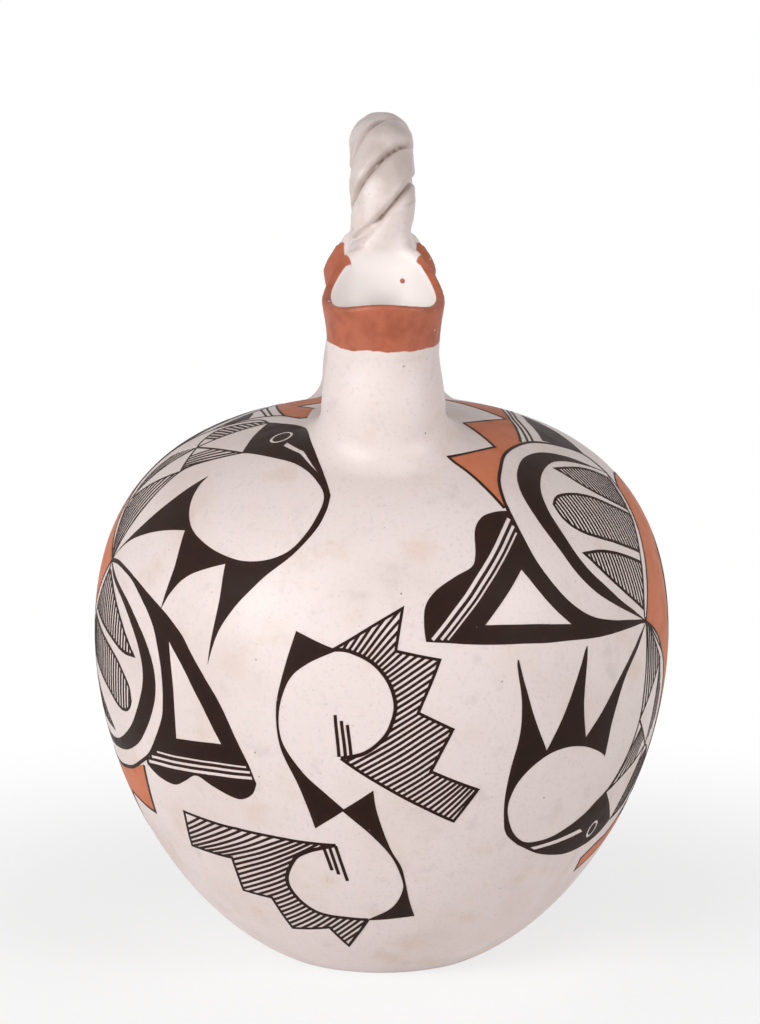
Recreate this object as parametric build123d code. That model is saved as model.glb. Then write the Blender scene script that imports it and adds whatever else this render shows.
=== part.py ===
from build123d import *
from math import asin, ceil, cos, radians, sin, sqrt, tan
import os

# A two-spouted pueblo jar with a twisted bridge handle, luted from separate clay pieces.
# Millimetres. The foot stands on Z = 0 about the origin. The spouts stand along Y, the front one at -Y.

# Body
BELLY_RADIUS = 102.0
BELLY_HEIGHT = 115.5
CROWN_RISE = 82.5
SHOULDER_FULLNESS = 0.67
LOWER_FULLNESS = 0.94
BODY_WALL = 5.0

# Foot, pressed in underneath
FOOT_RADIUS = 39.0
FOOT_RING_WIDTH = 10.0
FOOT_HOLLOW_DEPTH = 3.0
FLOOR_THICKNESS = 9.0

# Clay courses of the wall, lapped with slanted seams
BASE_RIM_HEIGHT = 36.0
COIL_COUNT = 8
SCARF_ANGLE = 30.0

# Spouts: heights are along the spout's axis, above the shoulder where the axis leaves it
SPOUT_OFFSET = 45.0
SPOUT_LEAN = 6.0
SPOUT_WALL = 3.8
SPOUT_FOOT_RADIUS = 21.0
SPOUT_FOOT_HEIGHT = 8.0
SPOUT_WAIST_RADIUS = 18.7
SPOUT_WAIST_HEIGHT = 29.0
FLARE_RADIUS = 12.0
FLARE_MARGIN = 3.0

# Lips: the mouth is scooped, low in the middle and high where the handle springs
LIP_RADIUS = 20.8
LIP_FLARE_ANGLE = 7.0
LIP_SEAM_HEIGHT = 32.0
RIM_FRONT_HEIGHT = 52.3
RIM_MIDDLE_HEIGHT = 46.8
RIM_BACK_HEIGHT = 60.0
RIM_ROUND = 1.2

# Handle: two strands twisted together over an arch
HANDLE_LEG = 7.5
ROPE_RADIUS = 11.0
STRAND_EDGE = 4.0
STRAND_GAP = 0.3
TWIST_LEAD = 28.8
TWIST_AT_TOP = 90.0
SECTIONS_PER_TURN = 10

# Handle roots, which carry the strands on the inner walls of the spouts
ROOT_CAP = 2.0
ROOT_WAIST_DROP = 10.0
ROOT_WAIST_WIDTH = 24.0
ROOT_WAIST_DEPTH = 15.0
ROOT_HEEL_DROP = 24.0
ROOT_HEEL_WIDTH = 18.0
ROOT_HEEL_DEPTH = 6.0

# Reach of cutting shapes past what they cut, and halvings in a search along a curve
OVERCUT = 30.0
HALVINGS = 40

# Sizes that follow
lower_drop = BELLY_HEIGHT / sqrt(1 - (FOOT_RADIUS / BELLY_RADIUS) ** 2)
foot_hollow_radius = FOOT_RADIUS - FOOT_RING_WIDTH
collar_radius = SPOUT_FOOT_RADIUS + FLARE_RADIUS * tan(radians(45 + SPOUT_LEAN)) + FLARE_MARGIN
collar_height = SPOUT_FOOT_HEIGHT + FLARE_RADIUS
crown_radius = SPOUT_OFFSET + collar_radius + FLARE_MARGIN


def lower_curve(inset):
    """The wall's curve from the floor up to the widest circle, moved inwards by inset."""
    radius = BELLY_RADIUS - inset
    drop = lower_drop - inset
    floor = FLOOR_THICKNESS if inset > 0 else 0.0
    sweep = asin((BELLY_HEIGHT - floor) / drop)
    pull = LOWER_FULLNESS * 4 / 3 * tan(sweep / 4)
    foot = radius * cos(sweep)
    return Bezier(
        (foot, floor),
        (foot + pull * radius * sin(sweep), floor + pull * drop * cos(sweep)),
        (radius, BELLY_HEIGHT - pull * drop),
        (radius, BELLY_HEIGHT),
    )


def upper_curve(inset):
    """The wall's curve from the widest circle up to the crown, moved inwards by inset."""
    radius = BELLY_RADIUS - inset
    rise = CROWN_RISE - inset
    top = BELLY_HEIGHT + rise
    return Bezier(
        (radius, BELLY_HEIGHT),
        (radius, BELLY_HEIGHT + SHOULDER_FULLNESS * rise),
        (SHOULDER_FULLNESS * radius, top),
        (0, top),
    )


def turned(outline):
    """Turn a closed outline, drawn with X as radius and Y as height, about the Z axis."""
    return revolve(Plane.XZ * make_face(outline), Axis.Z)


def outside_outline():
    """The body's outside, closed along the axis, with the hollow under the foot."""
    lower = lower_curve(0)
    upper = upper_curve(0)
    hollow_edge = (foot_hollow_radius, 0)
    hollow_top = (0, FOOT_HOLLOW_DEPTH)
    hollow = TangentArc(hollow_top, hollow_edge, tangent=(1, 0))
    ring = Line(hollow_edge, lower @ 0)
    axis = Line(upper @ 1, hollow_top)
    return [hollow, ring, lower, upper, axis]


def inside_outline():
    """The chamber inside the wall, closed along the axis."""
    lower = lower_curve(BODY_WALL)
    upper = upper_curve(BODY_WALL)
    floor_center = (0, FLOOR_THICKNESS)
    return [Line(floor_center, lower @ 0), lower, upper, Line(upper @ 1, floor_center)]


def station(curve, reached):
    """The share of a curve's length, from its start, at which reached(point) first holds."""
    low = 0.0
    high = 1.0
    for _ in range(HALVINGS):
        middle = (low + high) / 2
        if reached(curve @ middle):
            high = middle
        else:
            low = middle
    return high


def seam(share):
    """The two ends of a slanted seam through the wall, drawn past its inside and its outside."""
    middle = wall_line @ share
    along = wall_line % share
    slant = along.rotate(Axis.Z, SCARF_ANGLE - 90)
    reach = 2 * BODY_WALL * slant
    return middle - reach, middle + reach


def course(start, end):
    """One course of clay between two seams, as a ring of the wall."""
    inner_start, outer_start = seam(start)
    inner_end, outer_end = seam(end)
    zone = make_face(Polyline(inner_start, outer_start, outer_end, inner_end, close=True))
    return revolve(Plane.XZ * (wall_section & zone), Axis.Z)


body_outside = turned(outside_outline())
body_inside = turned(inside_outline())
wall_section = make_face(outside_outline()) - make_face(inside_outline())
wall_line = Wire([lower_curve(BODY_WALL / 2), upper_curve(BODY_WALL / 2)])
base_share = station(wall_line, lambda point: point.Y > BASE_RIM_HEIGHT)
crown_share = station(wall_line, lambda point: point.X < crown_radius and point.Y > BELLY_HEIGHT)

pieces = {}

# Moulded base and the courses of coils above it
base_seam = seam(base_share)
base_zone = make_face(
    Polyline(
        (0, -OVERCUT),
        (BELLY_RADIUS, -OVERCUT),
        base_seam[1],
        base_seam[0],
        (0, BASE_RIM_HEIGHT),
        close=True,
    )
)
pieces["moulded_base"] = revolve(Plane.XZ * (wall_section & base_zone), Axis.Z)
for index in range(COIL_COUNT):
    share_step = (crown_share - base_share) / COIL_COUNT
    start_share = base_share + index * share_step
    pieces[f"wall_coil_{index + 1}"] = course(start_share, start_share + share_step)

# Crown, which closes the body and is cut out for the spouts' collars
crown_seam = seam(crown_share)
crown_reach = BELLY_RADIUS + OVERCUT
crown_top = BELLY_HEIGHT + CROWN_RISE + OVERCUT
crown_zone = make_face(
    Polyline(
        crown_seam[0],
        crown_seam[1],
        (crown_reach, crown_seam[1].Y),
        (crown_reach, crown_top),
        (0, crown_top),
        (0, BELLY_HEIGHT),
        close=True,
    )
)
crown_disc = revolve(Plane.XZ * (wall_section & crown_zone), Axis.Z)

# Front spout's frame: its own height along the axis, its own Y towards the handle
outer_shoulder = upper_curve(0)
shoulder = outer_shoulder @ station(outer_shoulder, lambda point: point.X < SPOUT_OFFSET)
lean = radians(SPOUT_LEAN)
spout_plane = Plane((0, -SPOUT_OFFSET, shoulder.Y), x_dir=(1, 0, 0), z_dir=(0, -sin(lean), cos(lean)))
side_plane = Plane(spout_plane.origin, x_dir=spout_plane.y_dir, z_dir=spout_plane.x_dir)
spout_top = RIM_BACK_HEIGHT + OVERCUT


def spout_solid(inset):
    """The spout's outside, or its bore, as a solid from inside the body to above the rim."""
    foot = (SPOUT_FOOT_RADIUS - inset, SPOUT_FOOT_HEIGHT)
    waist = (SPOUT_WAIST_RADIUS - inset, SPOUT_WAIST_HEIGHT)
    lip = (LIP_RADIUS - inset, RIM_MIDDLE_HEIGHT)
    flare = tan(radians(LIP_FLARE_ANGLE))
    top = (lip[0] + flare * (spout_top - RIM_MIDDLE_HEIGHT), spout_top)
    root = (SPOUT_FOOT_RADIUS - inset, -OVERCUT)
    outline = [
        Line((0, -OVERCUT), root),
        Line(root, foot),
        Spline(foot, waist, lip, top, tangents=((0, 1), (flare, 1))),
        Line(top, (0, spout_top)),
        Line((0, spout_top), (0, -OVERCUT)),
    ]
    return spout_plane * turned(outline)


def spout_zone(radius, bottom, top):
    """The space about the spout's axis between two heights, met by slanted seams at the wall."""
    rise = radius * tan(radians(SCARF_ANGLE))
    outline = Polyline((0, bottom), (radius, bottom + rise), (radius, top + rise), (0, top), close=True)
    return spout_plane * turned(outline)


spout_outside = spout_solid(0)
spout_bore = spout_solid(SPOUT_WALL)
seam_sink = SPOUT_WAIST_RADIUS * tan(radians(SCARF_ANGLE))

# Flared collar, blended into the shoulder and set into the crown
joined = body_outside + spout_outside
flared = fillet(new_edges(body_outside, spout_outside, combined=joined), FLARE_RADIUS)
collar_cut = spout_zone(collar_radius, -OVERCUT - seam_sink, collar_height - seam_sink)
collar = (flared & collar_cut) - body_inside - spout_bore

# Neck and lip, with the scooped mouth
neck_cut = spout_zone(collar_radius, collar_height - seam_sink, LIP_SEAM_HEIGHT - seam_sink)
neck = (spout_outside & neck_cut) - spout_bore
rim_reach = LIP_RADIUS + OVERCUT
rim_front = (-LIP_RADIUS - SPOUT_WALL, RIM_FRONT_HEIGHT)
rim_middle = (0, RIM_MIDDLE_HEIGHT)
rim_back = (LIP_RADIUS - SPOUT_WALL, RIM_BACK_HEIGHT)
scoop_outline = [
    ThreePointArc(rim_front, rim_middle, rim_back),
    Polyline(
        rim_back,
        (rim_reach, RIM_BACK_HEIGHT),
        (rim_reach, spout_top + OVERCUT),
        (-rim_reach, spout_top + OVERCUT),
        (-rim_reach, RIM_FRONT_HEIGHT),
        rim_front,
    ),
]
scoop = extrude(side_plane.offset(-rim_reach) * make_face(scoop_outline), 2 * rim_reach)
lip_cut = spout_zone(collar_radius, LIP_SEAM_HEIGHT - seam_sink, spout_top)
spout_plug = spout_outside - scoop
sharp_lip = (spout_plug & lip_cut) - spout_bore
mouth_edges = sharp_lip.faces().filter_by(GeomType.CYLINDER).edges()
lip = fillet(mouth_edges.filter_by(GeomType.LINE, reverse=True), RIM_ROUND)

# Handle's path: up from the front spout, over, and down to the rear one
inner_wall = spout_plane.from_local_coords((0, LIP_RADIUS - SPOUT_WALL, RIM_BACK_HEIGHT))
rim_corner = spout_plane.from_local_coords((0, LIP_RADIUS, RIM_BACK_HEIGHT))
arch_radius = -inner_wall.Y - ROPE_RADIUS
root_top = rim_corner.Z + ROOT_CAP
arch_foot = root_top + HANDLE_LEG
arch = CenterArc((0, 0), arch_radius, 180, -180)
path_plane = Plane((0, 0, arch_foot), x_dir=(0, 1, 0), z_dir=(1, 0, 0))
handle_path = path_plane * Wire(
    [
        Line((-arch_radius, -HANDLE_LEG), (-arch_radius, 0)),
        arch,
        Line((arch_radius, 0), (arch_radius, -HANDLE_LEG)),
    ]
)


def strand(phase):
    """One strand, a rounded half of the rope's section turned steadily along the path."""
    parting = Pos(ROPE_RADIUS + STRAND_GAP / 2, 0) * Rectangle(2 * ROPE_RADIUS, 4 * ROPE_RADIUS)
    half = Circle(ROPE_RADIUS) & parting
    section = fillet(half.vertices(), STRAND_EDGE)
    turns = handle_path.length / TWIST_LEAD
    steps = ceil(turns * SECTIONS_PER_TURN)
    sections = []
    for step in range(steps + 1):
        share = step / steps
        place = Plane(handle_path @ share, x_dir=(1, 0, 0), z_dir=handle_path % share)
        sections.append(place * Rot(0, 0, phase + 360 * turns * (share - 0.5)) * section)
    return loft(sections)


# Root of the handle: widens from the rope's end and feathers down the inner wall of the spout
heel = spout_plane.from_local_coords((0, SPOUT_WAIST_RADIUS, RIM_BACK_HEIGHT - ROOT_HEEL_DROP))
top_center = Vector(0, -arch_radius, root_top)
waist_share = ROOT_WAIST_DROP / ROOT_HEEL_DROP
waist_center = top_center + (heel - top_center) * waist_share
root_sections = [
    Pos(heel) * Ellipse(ROOT_HEEL_WIDTH / 2, ROOT_HEEL_DEPTH / 2),
    Pos(waist_center) * Ellipse(ROOT_WAIST_WIDTH / 2, ROOT_WAIST_DEPTH / 2),
    Pos(top_center) * Circle(ROPE_RADIUS),
]
root = loft(root_sections) - spout_plug

front_pieces = {
    "spout_collar": collar,
    "spout_neck": neck,
    "spout_lip": lip,
    "handle_root": root,
}
for name, piece in front_pieces.items():
    pieces[f"front_{name}"] = piece
    pieces[f"rear_{name}"] = piece.rotate(Axis.Z, 180)
pieces["crown"] = crown_disc - collar_cut - collar_cut.rotate(Axis.Z, 180)
pieces["handle_strand_a"] = strand(TWIST_AT_TOP)
pieces["handle_strand_b"] = strand(TWIST_AT_TOP + 180)

os.makedirs("parts", exist_ok=True)
for name, piece in pieces.items():
    export_step(piece, f"parts/{name}.step")
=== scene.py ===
"""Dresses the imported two-spouted pueblo jar and sets it in a plain studio.

The CAD nodes of the body, the collars and the necks stay and get a slip. The lips, the handle's
roots and its strands are melded into one clay piece. The painted figures are thin films of paint
that lie on the slip. Sizes are in millimetres unless a name says otherwise.
"""

import logging
import math
from dataclasses import dataclass, field
from enum import Enum
from functools import cached_property
from typing import Callable, Iterable, Mapping, Sequence

import bmesh
import bpy
import numpy as np
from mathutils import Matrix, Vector, noise
from mathutils.bvhtree import BVHTree
from mathutils.geometry import delaunay_2d_cdt


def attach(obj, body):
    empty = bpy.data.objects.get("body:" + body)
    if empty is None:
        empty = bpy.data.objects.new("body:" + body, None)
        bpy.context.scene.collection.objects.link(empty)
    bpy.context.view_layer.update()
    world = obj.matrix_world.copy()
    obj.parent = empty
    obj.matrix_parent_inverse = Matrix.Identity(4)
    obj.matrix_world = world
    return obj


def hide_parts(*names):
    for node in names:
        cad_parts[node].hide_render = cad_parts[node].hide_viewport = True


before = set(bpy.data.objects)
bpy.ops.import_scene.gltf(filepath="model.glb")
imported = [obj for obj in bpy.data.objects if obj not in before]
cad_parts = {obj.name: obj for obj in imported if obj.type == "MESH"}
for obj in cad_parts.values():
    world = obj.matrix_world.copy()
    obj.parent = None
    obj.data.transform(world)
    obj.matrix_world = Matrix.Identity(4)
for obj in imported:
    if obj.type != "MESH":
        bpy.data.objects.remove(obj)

log = logging.getLogger("jar")

MM = 0.001
NOISE_SEED = 7
Point = tuple[float, float]
Path = list[Point]
Spine = tuple[tuple[float, float, float], ...]
Colour = tuple[int, int, int]


class Ink(Enum):
    """What a spot of the drawing is painted with."""

    BARE = "bare"
    BLACK = "black"
    RUST = "rust"


class Sock:
    """A shader value that takes part in Python sums."""

    def __init__(self, net: "Net", socket: bpy.types.NodeSocket) -> None:
        """Wraps one output of a net."""
        self.net = net
        self.socket = socket

    def __add__(self, other: "Sock | float") -> "Sock":
        """This value plus another."""
        return self.net.math("ADD", self, other)

    def __radd__(self, other: float) -> "Sock":
        """A number plus this value."""
        return self.net.math("ADD", other, self)

    def __sub__(self, other: "Sock | float") -> "Sock":
        """This value less another."""
        return self.net.math("SUBTRACT", self, other)

    def __rsub__(self, other: float) -> "Sock":
        """A number less this value."""
        return self.net.math("SUBTRACT", other, self)

    def __mul__(self, other: "Sock | float") -> "Sock":
        """This value times another."""
        return self.net.math("MULTIPLY", self, other)

    def __rmul__(self, other: float) -> "Sock":
        """A number times this value."""
        return self.net.math("MULTIPLY", other, self)

    def __truediv__(self, other: "Sock | float") -> "Sock":
        """This value divided by another."""
        return self.net.math("DIVIDE", self, other)

    def __rtruediv__(self, other: float) -> "Sock":
        """A number divided by this value."""
        return self.net.math("DIVIDE", other, self)

    def step(self, start: float, end: float) -> "Sock":
        """A soft step of this value.

        Args:
            start: the value at which the step gives 0.
            end: the value at which it gives 1.

        Returns:
            The step, from 0 to 1.
        """
        settings = {"interpolation_type": "SMOOTHSTEP"}
        return self.net.node("MapRange", settings, {0: self, 1: start, 2: end, 3: 0.0, 4: 1.0})


class Net:
    """The node tree of one material or of the world."""

    def __init__(self, owner: bpy.types.Material | bpy.types.World) -> None:
        """Clears the owner's node tree.

        Args:
            owner: the material or the world.
        """
        owner.use_nodes = True
        self.owner = owner
        self.tree = owner.node_tree
        self.tree.nodes.clear()

    @cached_property
    def place(self) -> Sock:
        """Object coordinates in metres."""
        return self.node("TexCoord", out="Object")

    def node(
        self,
        kind: str,
        settings: Mapping[str, object] | None = None,
        inputs: Mapping[int | str, object] | None = None,
        out: int | str = 0,
    ) -> Sock:
        """Adds a shader node.

        Args:
            kind: the node's type without its ShaderNode prefix.
            settings: properties of the node.
            inputs: values or sockets by input name or number.
            out: the output that is handed back.

        Returns:
            The chosen output.
        """
        made = self.tree.nodes.new("ShaderNode" + kind)
        for key, value in (settings or {}).items():
            setattr(made, key, value)
        for key, value in (inputs or {}).items():
            if isinstance(value, Sock):
                self.tree.links.new(value.socket, made.inputs[key])
            else:
                made.inputs[key].default_value = value
        return Sock(self, made.outputs[out])

    def math(self, operation: str, *values: Sock | float) -> Sock:
        """One sum on numbers."""
        return self.node("Math", {"operation": operation}, dict(enumerate(values)))

    def mix(self, share: Sock | float, first: Sock | Colour, second: Sock | Colour) -> Sock:
        """A colour between two colours."""
        ends = [value if isinstance(value, Sock) else linear(value) for value in (first, second)]
        return self.node("Mix", {"data_type": "RGBA"}, {0: share, 6: ends[0], 7: ends[1]}, 2)

    def noise(self, size: float, detail: float) -> Sock:
        """Soft random values from 0 to 1.

        Args:
            size: width of the clouds in millimetres.
            detail: octaves of finer clouds.

        Returns:
            The value.
        """
        inputs = {"Vector": self.place, "Scale": 1 / (size * MM), "Detail": detail}
        return self.node("TexNoise", None, inputs)

    def backdrop_ray(self) -> Sock:
        """1 for rays from the camera, mirrors and glass, which see the backdrop white."""
        kinds = ("Camera", "Glossy", "Transmission")
        camera, glossy, glass = [self.node("LightPath", out=f"Is {kind} Ray") for kind in kinds]
        return camera + glossy + glass

    def surface(
        self,
        colour: Sock,
        roughness: Sock | float,
        height: Sock,
        depth: float,
        **fixed: float,
    ) -> Sock:
        """A surface with relief.

        Args:
            colour: base colour.
            roughness: roughness.
            height: relief from 0 to 1.
            depth: real height of the relief in millimetres.
            fixed: other inputs of the surface, with _ for a space.

        Returns:
            The surface's shader.
        """
        bump = self.node("Bump", None, {"Strength": 1.0, "Distance": depth * MM, "Height": height})
        inputs = {"Base Color": colour, "Roughness": roughness, "Normal": bump}
        inputs.update({key.replace("_", " "): value for key, value in fixed.items()})
        return self.node("BsdfPrincipled", None, inputs)

    def finish(self, shader: Sock) -> bpy.types.Material | bpy.types.World:
        """Ends the tree with a shader.

        Args:
            shader: the shader of the surface or of the world.

        Returns:
            The tree's owner.
        """
        kind = "World" if isinstance(self.owner, bpy.types.World) else "Material"
        end = self.tree.nodes.new("ShaderNodeOutput" + kind)
        self.tree.links.new(shader.socket, end.inputs["Surface"])
        return self.owner


def linear(colour: Colour) -> tuple[float, float, float, float]:
    """A display colour as linear light, by the curve of the sRGB standard.

    Args:
        colour: red, green and blue from 0 to 255.

    Returns:
        Red, green, blue and opacity from 0 to 1.
    """
    shares = [value / 255 for value in colour]
    red, green, blue = [s / 12.92 if s <= 0.04045 else ((s + 0.055) / 1.055) ** 2.4 for s in shares]
    return red, green, blue, 1.0


@dataclass(frozen=True)
class Ripple:
    """Soft unevenness of a surface or an edge.

    Args:
        size: width of the waves in millimetres.
        detail: octaves of finer waves.
        share: height from the lowest value to the highest.
    """

    size: float
    detail: float
    share: float = 1.0

    def value(self, net: Net) -> Sock:
        """Values from 0 upwards."""
        return net.noise(self.size, self.detail) * self.share

    def sway(self, net: Net) -> Sock:
        """Values to both sides of 0."""
        return (net.noise(self.size, self.detail) - 0.5) * self.share


@dataclass(frozen=True)
class Patches:
    """Soft patches of another colour.

    Args:
        size: width of the patches in millimetres.
        detail: octaves of finer patches.
        start: noise value at which a patch begins.
        full: noise value at which it is at its strongest.
        strength: share of the other colour there.
    """

    size: float
    detail: float
    start: float
    full: float
    strength: float = 1.0

    def mask(self, net: Net) -> Sock:
        """Share of the other colour."""
        return net.noise(self.size, self.detail).step(self.start, self.full) * self.strength


@dataclass(frozen=True)
class Spots:
    """Sparse round spots.

    Args:
        size: width of the cells, of which each can hold one spot, in millimetres.
        share: share of the cells that hold a spot.
        reach: radius of a spot as a share of the cell's width.
        solid: share of that radius inside which the spot is at its strongest.
        blur: how gradually a cell's chance turns into a spot.
    """

    size: float
    share: float
    reach: float
    solid: float = 0.4
    blur: float = 0.02

    def mask(self, net: Net) -> Sock:
        """Where the spots are.

        Args:
            net: the material's node tree.

        Returns:
            1 in a spot's middle and 0 outside.
        """
        inputs = {"Vector": net.place, "Scale": 1 / (self.size * MM)}
        far = net.node("TexVoronoi", None, inputs)
        tint = net.node("TexVoronoi", None, inputs, 1)
        chance = net.node("SeparateColor", None, {0: tint})
        rare = 1 - self.share
        return far.step(self.reach, self.reach * self.solid) * chance.step(rare, rare + self.blur)


@dataclass(frozen=True)
class WhiteSlip:
    """White clay slip, rubbed with a stone, with clouds, stains, pinholes and dark specks.

    Args:
        name: the material's name.
        colour: the clean slip.
        cloud: thinner slip, which lies in clouds.
        ash: smoke of the firing, which lies in dust and grain.
        buff: clay that shows through in stains.
        speck: dirt in the pinholes and specks.
        pinhole_tint: how strongly the pinholes are tinted.
        speck_tint: how strongly the specks are tinted.
        strokes: relief left by the stone.
        tooth: relief of the clay's grain.
        pinhole_depth: depth of the pinholes as a share of the relief.
        depth: real height of the relief.
        sheen: roughness where the polish is best.
        polish: roughness that comes and goes.
    """

    name: str = "white_slip"
    colour: Colour = (222, 208, 204)
    cloud: Colour = (211, 193, 187)
    ash: Colour = (194, 180, 176)
    buff: Colour = (208, 180, 160)
    speck: Colour = (112, 92, 84)
    clouds: Patches = Patches(46, 4, 0.46, 0.74, 0.75)
    dust: Patches = Patches(9, 5, 0.55, 0.78, 0.4)
    grain: Patches = Patches(1.4, 3, 0.5, 0.75, 0.3)
    stains: Patches = Patches(17, 5, 0.54, 0.74, 0.4)
    pinholes: Spots = Spots(2.1, 0.3, 0.12)
    pinhole_tint: float = 0.56
    specks: Spots = Spots(8, 0.4, 0.06)
    speck_tint: float = 0.8
    strokes: Ripple = Ripple(7, 3, 0.7)
    tooth: Ripple = Ripple(0.9, 2, 0.3)
    pinhole_depth: float = 0.8
    depth: float = 0.05
    sheen: float = 0.34
    polish: Ripple = Ripple(24, 3, 0.24)

    def colours(self, net: Net) -> Sock:
        """The slip's colour with its clouds and specks.

        Args:
            net: the material's node tree.

        Returns:
            The colour.
        """
        tint = net.mix(self.clouds.mask(net), self.colour, self.cloud)
        tint = net.mix(self.dust.mask(net) + self.grain.mask(net), tint, self.ash)
        tint = net.mix(self.stains.mask(net), tint, self.buff)
        darkening = self.pinholes.mask(net) * self.pinhole_tint + self.specks.mask(net) * self.speck_tint
        return net.mix(darkening, tint, self.speck)

    def relief(self, net: Net) -> Sock:
        """The rubbed surface with its pinholes."""
        rubbed = self.strokes.value(net) + self.tooth.value(net)
        return rubbed - self.pinholes.mask(net) * self.pinhole_depth

    def roughness(self, net: Net) -> Sock:
        """Polish that comes and goes."""
        return self.sheen + self.polish.value(net)

    def material(self) -> bpy.types.Material:
        """The finished material."""
        net = Net(bpy.data.materials.new(self.name))
        return net.finish(net.surface(self.colours(net), self.roughness(net), self.relief(net), self.depth))


@dataclass(frozen=True)
class SpoutFrame:
    """Where the spouts stand: their axes leave the shoulder beside the jar's axis and lean outwards.

    Args:
        offset: distance of a spout's foot from the jar's axis.
        foot: height of that foot.
        lean: lean of the spout's axis.
    """

    offset: float = 45.0
    foot: float = 193.0
    lean: float = math.radians(6.0)

    def height(self, place: Vector) -> float:
        """Height of a place in metres along its spout's axis, in millimetres."""
        out, up = abs(place.y) / MM - self.offset, place.z / MM - self.foot
        return out * math.sin(self.lean) + up * math.cos(self.lean)


@dataclass(frozen=True)
class BandedSlip(WhiteSlip):
    """The spouts' white slip with a rust band that runs up the outside and over the rim.

    Heights run along a spout's axis from its foot, and depths from that axis towards the handle. The
    band's edge sways, and each sway is the share of that motion that another edge of the rust takes.

    Args:
        rust: the band.
        deep: the band's darker streaks.
        groove: painted shade, a darker and greyer slip in the rope's grooves.
        mouth_light: painted light, a lighter and cleaner tint of the slip inside the mouth.
        worn_and_shaded: a greyer slip high on the rope, partly wear where hands hold it and partly painted
            shade on the handle's top.
        band: height at which the rust begins.
        blur: half the width of the band's soft edge.
        hand: wide sway of that edge.
        brush: narrow sway of that edge.
        bore: inner radius of the mouth at that height.
        widening: growth of the radius for each millimetre of height.
        rim: how far outside the bore the rust begins and is full.
        root_half: half the width of the handle's bare root, and where the rust is full beside it.
        root_depth: depths at which the root begins.
        root_far: depths between which the root grows wider.
        root_growth: by how much it does.
        root_foot: heights at which the root begins.
        top: height at which the rust of the front spout ends.
        top_blur: half the width of that soft end.
        rear_drop: how much lower the rear spout's rust ends.
        halves: the jar's Y between its front half and its rear half.
        drop: middle of the drop of rust in the mouth.
        drop_edge: radius of the drop, and where it has faded.
        drop_squash: weight of the drop's extent along Y.
        mouth_light_edge: how far outside the bore the painted light inside the mouth is full and has faded.
        mouth_light_top: heights at which it is full and has faded.
        hold: heights between which the wear and painted shade grow.
        wear_and_shade_least: least share of the wear and painted shade.
        groove_shade_least: least share of the painted shade in the grooves.
    """

    name: str = "banded_slip"
    rust: Colour = (172, 92, 62)
    deep: Colour = (150, 74, 48)
    groove: Colour = (128, 104, 92)
    mouth_light: Colour = (247, 239, 236)
    worn_and_shaded: Colour = (186, 170, 163)
    spout: SpoutFrame = SpoutFrame()
    band: float = 32.4
    blur: float = 0.2
    hand: Ripple = Ripple(16, 2, 2.8)
    brush: Ripple = Ripple(2.4, 2, 0.7)
    bore: float = 15.2
    widening: float = 0.123
    rim: Point = (0.5, 0.8)
    rim_sway: float = 0.15
    root_half: Point = (10.6, 11.2)
    root_sway: float = 0.6
    root_depth: Point = (9, 11)
    root_far: Point = (14.5, 17.5)
    root_growth: float = 2.2
    root_foot: Point = (50.8, 52)
    foot_sway: float = 0.4
    top: float = 61.2
    top_blur: float = 0.3
    top_sway: float = 0.6
    rear_drop: float = 5.4
    halves: Point = (-1, 1)
    drop: tuple[float, float, float] = (6.6, -34.9, 243.4)
    drop_edge: Point = (0.8, 1.0)
    drop_squash: float = 0.1
    drop_sway: float = 0.1
    mouth_light_edge: Point = (0.6, 1.6)
    mouth_light_top: Point = (52, 66)
    mouth_light_share: float = 0.8
    hold: Point = (62, 86)
    grip_and_shade_patches: Patches = Patches(11, 4, 0.35, 0.65, 0.8)
    wear_and_shade_least: float = 0.3
    worn_and_shaded_share: float = 0.75
    darkening: Ripple = Ripple(6, 3)
    groove_shade_least: float = 0.5
    streaks: Patches = Patches(5, 4, 0.35, 0.75)
    chips: Spots = Spots(4.5, 0.4, 0.13)
    chip_loss: float = 0.85
    band_relief: float = 0.6
    band_roughness: float = 0.06

    def masks(self, net: Net) -> tuple[Sock, Sock, Sock]:
        """Where the slip changes, from the distance to the spout's axis and the height along it.

        Args:
            net: the material's node tree.

        Returns:
            The rust, the painted light inside the mouth, and the wear and painted shade high on the rope,
            each from 0 to 1.
        """
        axes = [net.node("SeparateXYZ", None, {0: net.place}, axis) / MM for axis in range(3)]
        lean = self.spout.lean
        side = axes[0]
        out = net.math("ABSOLUTE", axes[1]) - self.spout.offset
        up = axes[2] - self.spout.foot
        high = out * math.sin(lean) + up * math.cos(lean)
        back = up * math.sin(lean) - out * math.cos(lean)
        away = net.math("SQRT", side * side + back * back)
        bore = self.bore + (high - self.band) * self.widening
        wave = self.hand.sway(net) + self.brush.sway(net)

        low = (high + wave - self.band).step(-self.blur, self.blur)
        outer = (away + wave * self.rim_sway - bore).step(*self.rim)
        across = net.math("ABSOLUTE", side) + wave * self.root_sway
        across = across - back.step(*self.root_far) * self.root_growth
        root = across.step(*self.root_half[::-1]) * back.step(*self.root_depth)
        root = root * (high + wave * self.foot_sway).step(*self.root_foot)
        rear = axes[1].step(*self.halves)
        above = high + wave * self.top_sway + rear * self.rear_drop - self.top
        band = low * outer * (1 - root) * (1 - above.step(-self.top_blur, self.top_blur))

        spot = [axis - middle for axis, middle in zip(axes, self.drop)]
        far = spot[0] * spot[0] + spot[1] * spot[1] * self.drop_squash + spot[2] * spot[2]
        drop = (net.math("SQRT", far) + wave * self.drop_sway).step(*self.drop_edge[::-1])
        # Painted light: a lighter slip inside the mouth, below a given height.
        within = (away - bore).step(*self.mouth_light_edge[::-1]) * high.step(*self.mouth_light_top[::-1])
        # Wear and painted shade: the slip greys with height up the rope.
        marks = high.step(*self.hold) * (self.wear_and_shade_least + self.grip_and_shade_patches.mask(net))
        return net.math("MAXIMUM", band, drop), within, marks

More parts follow.
